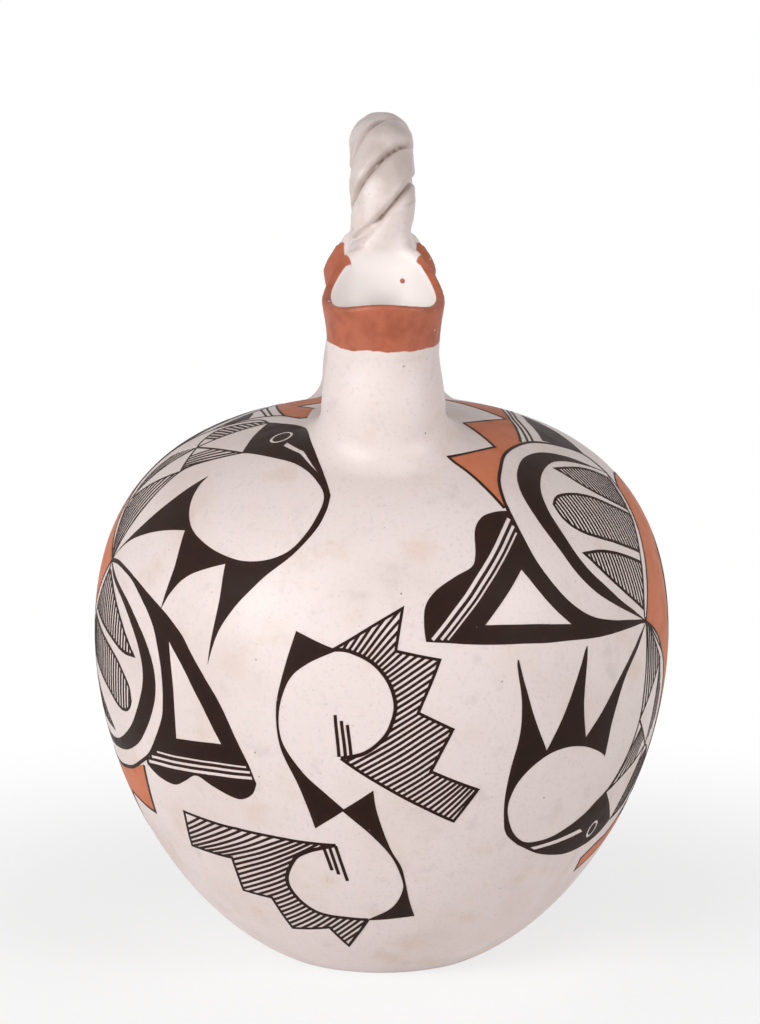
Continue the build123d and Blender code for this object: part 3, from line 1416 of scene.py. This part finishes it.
LOW_FAN = Fan(
    rim=(
        (-8, -3), (-20.6, -4.8), (-32.5, -3), (-41.2, 0.6), (-47.3, 6.1), (-51.9, 12.6),
        (-55.1, 20.4), (-56, 29.7), (-52.2, 42.2), (-46.6, 50.5), (-36.4, 59.9), (-26, 65.9),
        (-17.6, 69.2), (-8, 71), (4, 70.5), (19, 62),
    ),
    band_out=(
        (-10, 1.3), (-23.8, 2.2), (-34, 5), (-42.3, 9.1), (-48, 15), (-50.6, 23.2), (-48.9, 34),
        (-42.8, 45.6), (-34.8, 53.1), (-24.7, 58.8), (-11.5, 63), (4, 62.5),
    ),
    band_in=(
        (-7.7, 2.5), (-20.6, 4.1), (-30.1, 7.3), (-37.4, 12), (-42.1, 18.5), (-42.6, 27.6), (-38.6, 39.7),
        (-31.2, 49), (-22.5, 55.6), (-14, 58.9), (-1, 60),
    ),
    feathers=(
        Feather(
            upper=((20.4, 50), (5, 55)),
            tip=(-20.6, 52.5),
            lower=((-13.2, 49.1), (-1.7, 45), (12, 37)),
            slant=(95, 95),
            pitch=2.1,
        ),
        Feather(
            upper=((14, 34.2), (0.2, 36.2), (-16.8, 37.2), (-27.7, 39), (-33.3, 37.8), (-36.2, 35)),
            tip=(-37, 31.9),
            lower=((-34.9, 27.6), (-29.2, 24.6), (-22.4, 22.6), (-8, 22), (5.5, 22)),
            slant=(101, 95),
            pitch=2.1,
        ),
        Feather(
            upper=((4.9, 19.2), (-15.3, 18.3), (-28, 17.8)),
            tip=(-35.2, 15.7),
            lower=((-18.5, 8.2), (-3.4, 2.8), (-1, 4.4)),
            slant=(114, 106),
            pitch=2.1,
        ),
    ),
    corner=(-102.3, 33.7),
    top=(-47.4, 52.5),
    low_edge=(
        (-95.3, 24.4), (-81, 10.6), (-71.2, 4.4), (-59.6, -1.6), (-53, -4.4), (-42, -6),
        (-23.7, -5.8), (-8, -3.4),
    ),
    lobes=(
        (-101.3, 39.2), (-96.8, 43.8), (-90.7, 44.6), (-82.4, 43.8), (-74.9, 43), (-69.5, 48.4),
        (-63.5, 53.1), (-54.6, 54.4),
    ),
    inset=((-84.2, 23.9), (-63.7, 32.3), (-60.2, 19.8), (-56.8, 12.1), (-49.9, 0.9)),
    inset_side=((-59.4, 5.4), (-71.6, 13.2)),
    stripes=(
        ((-100, 32), (-48.7, 50.6), 1.3), ((-98.6, 29.8), (-50.7, 47.4), 1.1),
        ((-96.5, 28.2), (-54.1, 43.6), 0.8),
    ),
    flames=(
        (-44.9, 54.7), (-46.4, 76.3), (-23, 79.5), (-18.6, 100), (13.2, 95), (-1, 118), (27, 105),
        (-10.3, 74),
    ),
    wedge=((1, 70), (37.5, 100), (20, 60)),
    bars=(((-8, 72.5), (31, 104.5)), ((-5, 71.5), (33, 103))),
)
FAR_FAN = Fan(
    flames=(
        (2.4, 111), (-26, 82), (-55, 86), (-30, 114), (-16.8, 105.7), (-12.5, 121.6), (8, 134), (10, 119),
        (2.4, 111),
    ),
    wedge=((-14, 78), (-6.8, 84.1), (1.5, 88.6), (14, 95), (16, 76)),
    bars=(((-23.2, 73.9), (1.8, 99.6), (8, 106)), ((-24.4, 77), (1.2, 102.7), (8, 109.5))),
)


@dataclass(frozen=True)
class Bird:
    """The round-bellied bird with three tail spikes, of which the near one points to the hub.

    Args:
        hub: where the medallion's figures meet.
        near_in: the near spike's inner edge, from the hub.
        valleys: the two places between the spikes.
        middle_in: the middle spike's near edge.
        middle_tip: its tip.
        middle_out: its far edge.
        far_in: the far spike's near edge.
        far_tip: its tip.
        back: the bird's back, from that tip to the beak.
        beak: the beak's tip.
        crown: the top of the head, from the beak to the nape.
        nape: the nape.
        throat: the end of the head at the belly.
        near_end: the near spike's foot.
        near_out: the near spike's outer edge, back to the hub.
        belly: the bare oval.
        slit: the bare line along the beak.
        eye: the eye's middle, half its length, half its width and its tilt.
        halo: the line round the wing, from the hub.
        clearing: the rest of the ground that is cleared of other figures.
    """

    hub: Point = (0, 0)
    near_in: tuple[Point, ...] = ((-8, -5.6), (-21, -17.1), (-29.4, -26.9))
    valleys: tuple[Point, Point] = ((-35.8, -34), (-54.1, -36.4))
    middle_in: tuple[Point, ...] = ((-38.3, -23.1), (-38, -13.8))
    middle_tip: Point = (-36.2, -1.4)
    middle_out: tuple[Point, ...] = ((-37.6, -2.6), (-42.6, -13), (-49.6, -27.4))
    far_in: tuple[Point, ...] = ((-60.7, -22.2), (-64.4, -9.6))
    far_tip: Point = (-66.2, -0.4)
    back: tuple[Point, ...] = (
        (-67, -2), (-65.9, -17.4), (-66.7, -30.3), (-68.7, -41.3), (-69, -54.5), (-66.8, -65.1),
        (-63.2, -71.8),
    )
    beak: Point = (-56.1, -77.2)
    crown: tuple[Point, ...] = ((-44.5, -81.9), (-34.5, -84.3), (-24.6, -85), (-13.1, -83.1), (-5.6, -80.3))
    nape: Point = (0.9, -75.4)
    throat: Point = (-14.1, -59.3)
    near_end: Point = (-22.7, -43.4)
    near_out: tuple[Point, ...] = ((-21.9, -30.1), (-16.4, -16.8), (-6.6, -6.6))
    belly: tuple[Point, ...] = (
        (-66.5, -60.1), (-61.4, -69.7), (-53.7, -75.8), (-44.9, -75.9), (-36.8, -73.6),
        (-25.7, -67.7), (-20, -62.9), (-14, -57.6), (-16.4, -50), (-23.2, -43.2), (-32, -38.7),
        (-39.6, -36.8), (-46.9, -36.6), (-54.2, -38.6), (-61, -43.3), (-65.7, -50.6),
    )
    slit: tuple[Point, ...] = (
        (-23.6, -73.7), (-35.6, -76.6), (-48.9, -78.9), (-46, -80.2), (-34, -78.4), (-20.6, -75.5),
    )
    eye: tuple[Point, float, float, float] = ((-13.6, -76), 3.9, 3.0, 80)
    halo: tuple[Point, ...] = (
        (14, -10), (27, -32), (27, -52), (22, -68), (14, -78), (6.7, -83.3), (-2, -86.4), (-9, -91),
    )
    clearing: tuple[Point, ...] = ((-6.7, -98.6), (-9, -112), (-45, -108), (-62, -84), (-45, -60))
    halo_line: float = 0.8
    eye_ring: float = 1.1

    def draw(self, sketch: Sketch) -> None:
        """Draws the bird with the hub of its medallion at the origin, on a ground cleared of other figures.

        Args:
            sketch: the drawing that it is added to.
        """
        edge = curve(self.hub, *self.halo)
        sketch.fill(Ink.BARE, edge, straight(self.halo[-1], *self.clearing, self.hub))
        sketch.line(edge + straight(self.halo[-1], self.clearing[0])[1:], self.halo_line)
        sketch.fill(
            Ink.BLACK,
            curve(self.hub, *self.near_in, self.valleys[0]),
            curve(self.valleys[0], *self.middle_in, self.middle_tip),
            curve(self.middle_tip, *self.middle_out, self.valleys[1]),
            curve(self.valleys[1], *self.far_in, self.far_tip),
            curve(self.far_tip, *self.back, self.beak),
            curve(self.beak, *self.crown, self.nape),
            straight(self.nape, self.throat, self.near_end),
            curve(self.near_end, *self.near_out, self.hub),
        )
        sketch.fill(Ink.BARE, curve(*self.belly, closed=True))
        sketch.fill(Ink.BARE, straight(*self.slit, self.slit[0]))
        middle, wide, tall, tilt = self.eye
        sketch.fill(Ink.BARE, oval(middle, wide, tall, tilt))
        sketch.fill(Ink.BLACK, oval(middle, wide - self.eye_ring, tall - self.eye_ring, tilt))


LONG_HEADED = Bird(
    near_in=((-7.4, -11.4), (-19.5, -22.1)),
    valleys=((-30.6, -30.2), (-54.3, -33.2)),
    middle_in=((-37.6, -18.9),),
    middle_tip=(-41, -5.8),
    middle_out=((-41.8, -12.4), (-44.9, -21.8)),
    far_in=((-61.3, -21.7),),
    far_tip=(-68.6, -1.6),
    back=((-66.8, -14.4), (-67.6, -26.4), (-69.3, -38.1), (-71.6, -53.9), (-69.8, -65.5), (-66.1, -72.6)),
    beak=(-60.5, -78.2),
    crown=((-51.8, -80.9), (-28.6, -84.9), (-7.4, -86), (5.9, -77.5)),
    nape=(11.8, -72.3),
    throat=(-12.1, -59.9),
    near_end=(-15.4, -46.6),
    near_out=((-14.1, -38.9), (-11.8, -26.9), (-8, -15.9)),
    belly=(
        (-12.1, -59.7), (-27, -70.3), (-37.7, -75.8), (-49, -77.6), (-59.3, -75.8), (-66.2, -67.4),
        (-69.6, -55.3), (-66.4, -45.5), (-59.4, -38.6), (-51, -34.7), (-41.8, -32.5),
        (-31.5, -32.6), (-22.7, -36.1), (-17.4, -41.5), (-15, -46.8), (-12.6, -53),
    ),
    slit=((-19.2, -74.8), (-29.6, -78.7), (-46.7, -80), (-29.2, -80.5), (-17.5, -76.7)),
    eye=((-10.9, -75.8), 5.0, 4.1, 112),
    halo=(
        (18, -8), (31, -22), (34.5, -36), (30, -52), (27.5, -62), (23.9, -70.9), (17.5, -79.1), (7.5, -86),
    ),
    clearing=((6.4, -89.2), (23, -92.6), (26, -102), (0, -112), (-45, -104), (-66, -84), (-50, -60)),
)
FAR_BIRD = Bird(
    halo=((14, -10), (27, -32), (27, -52), (22, -66), (11, -74)),
    clearing=((0.9, -75.4), (-20, -92), (-45, -92), (-62, -84), (-45, -60)),
)


@dataclass(frozen=True)
class Wing:
    """The zigzag of hatched and bare triangles from the hub to the bird's head.

    Args:
        hub: where the medallion's figures meet.
        inner: the edge along the bird, from the hub to the throat.
        throat: the end of the bird's head at the belly.
        nape: the bird's nape.
        outer: the outer edge, from the hub to the nape.
        inner_knee: the zigzag's corner on the inner edge.
        outer_knee: its corner near the outer edge.
        cross: where its lines meet in the wing's middle.
        bulge: the outermost point of the leaf between the outer knee and the middle.
        head: the outer edge of the triangle at the head, from the middle to the nape.
    """

    hub: Point = (0, 0)
    inner: tuple[Point, ...] = ((-0.8, -19.8), (-1.4, -34.4), (-6, -48))
    throat: Point = (-14.2, -59.6)
    nape: Point = (1.4, -75.2)
    outer: tuple[Point, ...] = ((10.5, -8.6), (20.5, -17.5), (25.5, -32), (24, -54), (14, -70))
    inner_knee: Point = (-1.4, -34.4)
    outer_knee: Point = (14.5, -15.8)
    cross: Point = (12.4, -47.2)
    bulge: Point = (20.5, -34)
    head: tuple[Point, ...] = ((18, -49.5), (22, -55.5), (17.5, -65), (9.5, -71.5))
    near_hatching: Hatching = Hatching(((18, -24, 104), (-4, -24, 88)), 2.2, 1.0)
    middle_hatching: Hatching = Hatching(((10, -40, 62), (-12, -54, 50)), 1.8, 0.85)
    leaf_hatching: Hatching = Hatching(((26, -34, 96), (12, -34, 86)), 2.0, 0.9)
    head_hatching: Hatching = Hatching(((22, -46, 30), (6, -80, 20)), 1.8, 1.0)
    edge_line: float = 0.8

    def draw(self, sketch: Sketch) -> None:
        """Draws the wing with the hub of its medallion at the origin.

        Args:
            sketch: the drawing that it is added to.
        """
        inner = curve(self.hub, *self.inner, self.throat)
        outer = curve(self.hub, *self.outer, self.nape)
        brow = curve(self.cross, *self.head, self.nape)
        sketch.fill(Ink.BARE, outer, straight(self.nape, self.throat), inner[::-1])
        near = outline(
            straight(self.hub, self.outer_knee, self.inner_knee),
            curve(self.inner_knee, self.inner[0], self.hub),
        )
        sketch.hatch(near, self.near_hatching)
        middle = outline(
            straight(self.inner_knee, self.cross, self.throat),
            curve(self.throat, self.inner[2], self.inner_knee),
        )
        sketch.hatch(middle, self.middle_hatching)
        leaf = outline(
            straight(self.outer_knee, self.cross),
            curve(self.cross, self.bulge, self.outer_knee),
        )
        sketch.hatch(leaf, self.leaf_hatching)
        sketch.hatch(outline(brow, straight(self.nape, self.cross)), self.head_hatching)
        for path in (
            inner,
            outer,
            straight(self.inner_knee, self.outer_knee, self.cross, self.inner_knee),
            straight(self.throat, self.cross, self.nape),
            straight(self.hub, self.outer_knee),
            brow,
        ):
            sketch.line(path, self.edge_line)


LONG_WING = Wing(
    inner=((-1.2, -20), (0.2, -37.6), (-3.5, -46)),
    throat=(-11.9, -59.9),
    nape=(10.8, -73),
    outer=((12, -8.6), (25, -17), (33, -32), (30.5, -50), (21, -68)),
    inner_knee=(0.2, -37.6),
    outer_knee=(18.2, -14.6),
    cross=(13.4, -44.9),
    bulge=(24.5, -31),
    head=((18.6, -46.7), (25, -52.3), (20.5, -62.5), (15.3, -69.5)),
)

Figure = Fan | Bird | Wing


@dataclass(frozen=True)
class Scroll:
    """The bow-tied scroll of the jar's front or back.

    Args:
        name: start of its pieces' names.
        chart: map about the bow's knot.
        scale: its size.
        upper: its upper half.
        lower: its lower half, drawn upside down.
    """

    name: str
    chart: Chart
    scale: float = 1.0
    upper: ScrollArm = UPPER_ARM
    lower: ScrollArm = LOWER_ARM

    def draw(self) -> PaintFilm:
        """Draws both halves on the map.

        Returns:
            The films of paint.
        """
        sketch = Sketch()
        for arm, turn in ((self.upper, 0), (self.lower, 180)):
            half = Sketch()
            arm.draw(half)
            sketch.add(half, lambda p: turned(p, turn, self.scale))
        return PaintFilm(self.name, self.chart, sketch)


@dataclass(frozen=True)
class Medallion:
    """One side's painting: a rust leaf with an arm of fan, bird and wing at each end.

    Args:
        name: start of its pieces' names.
        hub: map about the front arm's hub.
        turn: degrees by which the medallion is turned about that hub.
        near_turn: further turn of the front arm.
        far_turn: further turn of the arm behind.
        scale: size of the front arm and of the arm behind.
        leaf: middle of the rust leaf between the arms.
        near: the front arm's figures.
        far: the figures of the arm behind.
        leaf_half: half the leaf's width.
        leaf_line: width of the line round the leaf.
        core: half the width and half the length of the hatched oval in the leaf.
        core_hatching: the oval's hatching.
        core_line: width of the line round the oval.
    """

    name: str
    hub: Chart
    turn: float
    near_turn: float
    far_turn: float
    scale: Point
    leaf: Point
    near: tuple[Figure, ...]
    far: tuple[Figure, ...]
    leaf_half: float = 50.0
    leaf_line: float = 0.9
    core: Point = (8, 24)
    core_hatching: Hatching = Hatching(((0, 26, 25), (0, -26, 25)), 1.8, 0.9)
    core_line: float = 1.0

    def draw(self) -> PaintFilm:
        """Draws both arms and the leaf on a map about the leaf's middle.

        Returns:
            The films of paint.
        """
        center = self.hub.about(turned(self.leaf, self.turn))
        far_hub = self.hub.about(turned((2 * self.leaf[0], 2 * self.leaf[1]), self.turn))
        sketch = Sketch()
        ground = oval((0, 0), math.hypot(*self.leaf), self.leaf_half, self.turn)
        sketch.fill(Ink.RUST, ground)
        sketch.line(ground, self.leaf_line, closed=True)
        core = oval((0, 0), *self.core, self.turn)
        sketch.hatch(outline(core), self.core_hatching)
        sketch.line(core, self.core_line, closed=True)
        arms = (
            (self.far, far_hub, self.turn + 180 + self.far_turn, self.scale[1]),
            (self.near, self.hub, self.turn + self.near_turn, self.scale[0]),
        )
        for figures, chart, turn, scale in arms:
            arm = Sketch()
            for figure in figures:
                figure.draw(arm)
            sketch.add(arm, lambda p: center.flat(chart.direction(turned(p, turn, scale))))
        return PaintFilm(self.name, center, sketch)


PAINTING = (
    Scroll("front_scroll", Chart(-8.4, -21.35)),
    Scroll("rear_scroll", Chart(181, -20), 0.86),
    Medallion(
        name="right_medallion",
        hub=Chart(62.6, 9.08),
        turn=0,
        near_turn=0,
        far_turn=-24,
        scale=(1.0, 0.93),
        leaf=(40, 0),
        near=(Fan(), Bird(), Wing()),
        far=(Fan(), FAR_BIRD, Wing()),
    ),
    Medallion(
        name="left_medallion",
        hub=Chart(-73.7, 19.3),
        turn=180,
        near_turn=-16.5,
        far_turn=-21,
        scale=(1.06, 0.9),
        leaf=(34, -7),
        near=(LOW_FAN, LONG_HEADED, LONG_WING),
        far=(FAR_FAN, FAR_BIRD, Wing()),
    ),
)


def ramp(value: float, *stops: Point) -> float:
    """A value that runs straight from stop to stop, each an input and its output."""
    return float(np.interp(value, [stop[0] for stop in stops], [stop[1] for stop in stops]))


@dataclass(frozen=True)
class MeldedHandle:
    """The lips, the handle's roots and its strands, luted into one piece of clay by hand.

    The clay runs on down into the necks, where it dips under their surface, so that no seam shows.
    Heights of the spouts run along their axes from their feet. Other heights are the jar's own.

    Args:
        grain: size of the voxels that meld the clay.
        weld: distance under which corners of the solids are merged.
        rounds: passes of smoothing.
        root_rounds: further passes where the strands grow out of the roots.
        root: lowest and highest of those places.
        lumps: widths of the large and of the small lumps that hands leave.
        small_lump: height of the small lumps as a share of the large ones.
        rough: heights of a spout, each with the height of its lumps.
        dip: heights of a spout, each with how far its surface is moved out.
        slope: how far the twist's grooves are drawn along the rope for each millimetre off its middle.
        slope_start: heights between which that slope sets in.
        arch: height of the middle of the handle's arch.
        arch_core: radius about that middle inside which the arch is turned no further.
        groove_start: heights between which the grooves begin to be marked for painted shade.
        groove_bend: how far a groove's bottom lies under its surroundings, where its mark begins and is full.
        groove_rounds: passes that soften the marks.
        sharp: angle in degrees over which an edge stays sharp.
        spout: the spouts' frame.
    """

    grain: float = 0.6
    weld: float = 0.01
    rounds: int = 5
    root_rounds: int = 45
    root: Point = (249.0, 264.0)
    lumps: Point = (14.0, 5.0)
    small_lump: float = 0.4
    rough: tuple[Point, ...] = ((34, 0), (42, 0.2), (58, 0.3), (66, 0.6))
    dip: tuple[Point, ...] = ((25, -0.35), (30, 0.15), (34, 0.15), (40, 0))
    slope: float = 0.45
    slope_start: Point = (253, 265)
    arch: float = 264.3
    arch_core: float = 5.0
    groove_start: Point = (256, 260)
    groove_bend: Point = (0.008, 0.05)
    groove_rounds: int = 2
    sharp: float = 80.0
    spout: SpoutFrame = SpoutFrame()

    def build(
        self,
        nodes: Sequence[bpy.types.Object],
        necks: Sequence[bpy.types.Object],
        material: bpy.types.Material,
    ) -> bpy.types.Object:
        """Melds copies of the CAD nodes.

        Args:
            nodes: the lips, roots and strands.
            necks: the necks, which stay.
            material: the spouts' slip.

        Returns:
            The piece, which stands for the lips, roots and strands.
        """
        bm = self._meld([*nodes, *necks])
        self._smooth(bm, bm.verts[:], self.rounds)
        low, high = self.root
        foot = [corner for corner in bm.verts if low < corner.co.z / MM < high]
        self._smooth(bm, foot, self.root_rounds)
        for corner in bm.verts:
            corner.co = self._drawn(corner.co)
        bm.normal_update()
        self._mark_hollows(bm)
        large, small = self.lumps
        for corner in bm.verts:
            height = self.spout.height(corner.co)
            lump = noise.noise(corner.co / (large * MM))
            lump += self.small_lump * noise.noise(corner.co / (small * MM))
            swell = lump * ramp(height, *self.rough) + ramp(height, *self.dip)
            corner.co += corner.normal * swell * MM
        piece = add_piece("melded_mouths_and_handle", bm, material, self.sharp)
        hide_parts(*[node.name for node in nodes])
        return piece

    def _drawn(self, place: Vector) -> Vector:
        """A place of the rope, drawn along it so that the grooves run steeper, as in a hand-twisted rope.

        Args:
            place: the place in metres.

        Returns:
            Its new place.
        """
        middle = self.arch * MM
        start, end = self.slope_start
        share = ramp(place.z / MM, (start, 0), (end, 1))
        along = self.slope * place.x * share * share * (3 - 2 * share)
        if place.z < middle:
            return place + Vector((0, 0, along if place.y < 0 else -along))
        spoke = Vector((place.y, place.z - middle))
        angle = along / max(spoke.length, self.arch_core * MM)
        cos, sin = math.cos(angle), math.sin(angle)
        return Vector((place.x, spoke.x * cos + spoke.y * sin, middle - spoke.x * sin + spoke.y * cos))

    def _mark_hollows(self, bm: bmesh.types.BMesh) -> None:
        """Notes how deep each corner lies in a groove, from 0 to 1, for the slip's painted shade there.

        Args:
            bm: the clay, which gets the attribute.
        """
        layer = bm.verts.layers.float.new("hollow")
        low, high = self.groove_start
        shallow, deep = self.groove_bend
        for corner in bm.verts:
            around = [edge.other_vert(corner).co for edge in corner.link_edges]
            middle = sum(around, Vector()) / len(around)
            bend = (middle - corner.co).dot(corner.normal) / MM
            on_rope = ramp(corner.co.z / MM, (low, 0), (high, 1))
            corner[layer] = on_rope * ramp(bend, (shallow, 0), (deep, 1))
        for _ in range(self.groove_rounds):
            means = [
                sum(edge.other_vert(corner)[layer] for edge in corner.link_edges) / len(corner.link_edges)
                for corner in bm.verts
            ]
            for corner, mean in zip(bm.verts, means):
                corner[layer] = (corner[layer] + mean) / 2

    @staticmethod
    def _smooth(bm: bmesh.types.BMesh, corners: list[bmesh.types.BMVert], rounds: int) -> None:
        """Evens out corners in some rounds."""
        axes = {"use_axis_x": True, "use_axis_y": True, "use_axis_z": True}
        for _ in range(rounds):
            bmesh.ops.smooth_vert(bm, verts=corners, factor=0.5, **axes)

    def _meld(self, nodes: Sequence[bpy.types.Object]) -> bmesh.types.BMesh:
        """One closed mesh around the clay of all the nodes.

        Args:
            nodes: the nodes, which are copied.

        Returns:
            The mesh.
        """
        bm = bmesh.new()
        for node in nodes:
            first = len(bm.verts)
            bm.from_mesh(node.data)
            bmesh.ops.transform(bm, matrix=node.matrix_world, verts=bm.verts[first:])
        bmesh.ops.remove_doubles(bm, verts=bm.verts[:], dist=self.weld * MM)
        mesh = bpy.data.meshes.new("clay")
        bm.to_mesh(mesh)
        bm.free()
        clay = bpy.data.objects.new("clay", mesh)
        bpy.context.scene.collection.objects.link(clay)
        meld = clay.modifiers.new("meld", "REMESH")
        meld.mode = "VOXEL"
        meld.voxel_size = self.grain * MM
        melded = clay.evaluated_get(bpy.context.evaluated_depsgraph_get())
        bm = bmesh.new()
        bm.from_mesh(melded.to_mesh())
        melded.to_mesh_clear()
        bpy.data.objects.remove(clay)
        return bm


@dataclass(frozen=True)
class Lamp:
    """A soft square light.

    Args:
        name: its name.
        place: where it hangs, in metres.
        size: its side in metres.
        power: its power in watts.
    """

    name: str
    place: tuple[float, float, float]
    size: float
    power: float

    def build(self, target: Vector) -> None:
        """Adds the light, facing a place.

        Args:
            target: the place in metres.
        """
        lamp = bpy.data.lights.new(self.name, "AREA")
        lamp.size = self.size
        lamp.energy = self.power
        holder = bpy.data.objects.new(self.name, lamp)
        bpy.context.scene.collection.objects.link(holder)
        holder.location = self.place
        holder.rotation_euler = (target - holder.location).to_track_quat("-Z", "Y").to_euler()


@dataclass(frozen=True)
class Studio:
    """A pale floor, soft lights and the camera of the photograph.

    Args:
        target: where the camera and the lights look, in metres.
        distance: the camera's distance from there in metres.
        elevation: degrees of the camera above level.
        azimuth: degrees of the camera round the jar, from the front towards +X.
        focal: focal length as a share of the image's height.
        sensor: height of the sensor.
        image: width and height of the photograph in pixels.
        center: pixel of the photograph that the target falls on.
        lamps: the lights.
        fill: strength of the light from all round.
        floor_half: half the floor's side in metres.
        floor_colours: the floor's two tints.
        floor_tint: share of the second tint.
        floor_grain: the floor's relief.
        floor_depth: real height of that relief.
        floor_roughness: the floor's roughness.
        floor_white: least share of plain white that the camera sees instead of the lit floor.
        floor_fade: distances in metres from the jar between which that share grows to 1.
    """

    target: Vector = Vector((0, 0, 0.1155))
    distance: float = 1.150
    elevation: float = 12.06
    azimuth: float = -0.71
    focal: float = 3220 / 1024
    sensor: float = 36.0
    image: Point = (760, 1024)
    center: Point = (381.6, 629.4)
    lamps: tuple[Lamp, ...] = (
        Lamp("left", (-1.05, -0.76, 0.46), 0.45, 8.2),
        Lamp("right", (1.05, -0.76, 0.46), 0.4, 7),
        Lamp("front", (-0.7, -1.2, 0.75), 0.5, 7.2),
        Lamp("high", (0.5, -0.6, 1.6), 0.6, 3),
    )
    fill: float = 0.08
    floor_half: float = 30.0
    floor_colours: tuple[Colour, Colour] = ((250, 250, 250), (246, 246, 247))
    floor_tint: Ripple = Ripple(300, 3, 0.3)
    floor_grain: Ripple = Ripple(2, 2)
    floor_depth: float = 0.02
    floor_roughness: float = 0.7
    floor_white: float = 0.72
    floor_fade: Point = (0.1, 0.35)

    def camera(self) -> None:
        """Sets the camera."""
        e, a = math.radians(self.elevation), math.radians(self.azimuth)
        away = Vector((math.sin(a) * math.cos(e), -math.cos(a) * math.cos(e), math.sin(e)))
        lens = bpy.data.cameras.new("camera")
        camera = bpy.data.objects.new("camera", lens)
        bpy.context.scene.collection.objects.link(camera)
        camera.location = self.target + self.distance * away
        camera.rotation_euler = (-away).to_track_quat("-Z", "Y").to_euler()
        lens.sensor_fit = "VERTICAL"
        lens.sensor_height = self.sensor
        lens.lens = self.focal * self.sensor
        lens.shift_x = (self.image[0] / 2 - self.center[0]) / self.image[1]
        lens.shift_y = (self.center[1] - self.image[1] / 2) / self.image[1]
        bpy.context.scene.camera = camera

    def floor(self) -> None:
        """Adds the floor, which the camera sees as plain white away from the jar."""
        net = Net(bpy.data.materials.new("pale_floor"))
        colour = net.mix(self.floor_tint.value(net), *self.floor_colours)
        lit = net.surface(colour, self.floor_roughness, self.floor_grain.value(net), self.floor_depth)
        away = net.node("VectorMath", {"operation": "LENGTH"}, {0: net.place}, "Value")
        share = self.floor_white + (1 - self.floor_white) * away.step(*self.floor_fade)
        white = net.node("Emission", None, {"Color": (1, 1, 1, 1), "Strength": 1.0})
        mixed = net.node("MixShader", None, {0: share * net.backdrop_ray(), 1: lit, 2: white})
        bm = bmesh.new()
        bmesh.ops.create_grid(bm, x_segments=1, y_segments=1, size=self.floor_half)
        mesh = bpy.data.meshes.new("floor")
        bm.to_mesh(mesh)
        bm.free()
        mesh.materials.append(net.finish(mixed))
        floor = bpy.data.objects.new("floor", mesh)
        bpy.context.scene.collection.objects.link(floor)

    def sky(self) -> None:
        """Sets the soft light from all round."""
        net = Net(bpy.data.worlds.new("studio"))
        glow = net.math("MAXIMUM", net.backdrop_ray(), self.fill)
        shader = net.node("Background", None, {"Color": (1, 1, 1, 1), "Strength": glow})
        bpy.context.scene.world = net.finish(shader)

    def build(self) -> None:
        """Builds the whole studio."""
        bpy.context.scene.view_settings.view_transform = "Standard"
        self.camera()
        self.floor()
        self.sky()
        for lamp in self.lamps:
            lamp.build(self.target)


def report(piece: bpy.types.Object) -> None:
    """Logs a piece and its number of faces."""
    log.info("%s: %d faces", piece.name, len(piece.data.polygons))


def main() -> None:
    """Dresses the jar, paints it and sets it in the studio."""
    logging.basicConfig(level=logging.INFO)
    noise.seed_set(NOISE_SEED)
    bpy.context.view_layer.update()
    slip = WhiteSlip().material()
    banded = BandedSlip().material()
    melded: list[bpy.types.Object] = []
    necks: list[bpy.types.Object] = []
    body: list[bpy.types.Object] = []
    for name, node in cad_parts.items():
        if "lip" in name or "handle" in name:
            melded.append(node)
            continue
        is_neck = "neck" in name
        (necks if is_neck else body).append(node)
        node.data.materials.clear()
        node.data.materials.append(banded if is_neck else slip)
        report(node)
    report(MeldedHandle().build(melded, necks, banded))
    skin = Skin(body)
    inks = {Ink.BLACK: BLACK_PAINT.material(), Ink.RUST: RUST_PAINT.material()}
    for figure in PAINTING:
        for piece in figure.draw().build(skin, inks):
            report(piece)
    Studio().build()


if __name__ == "__main__":
    main()
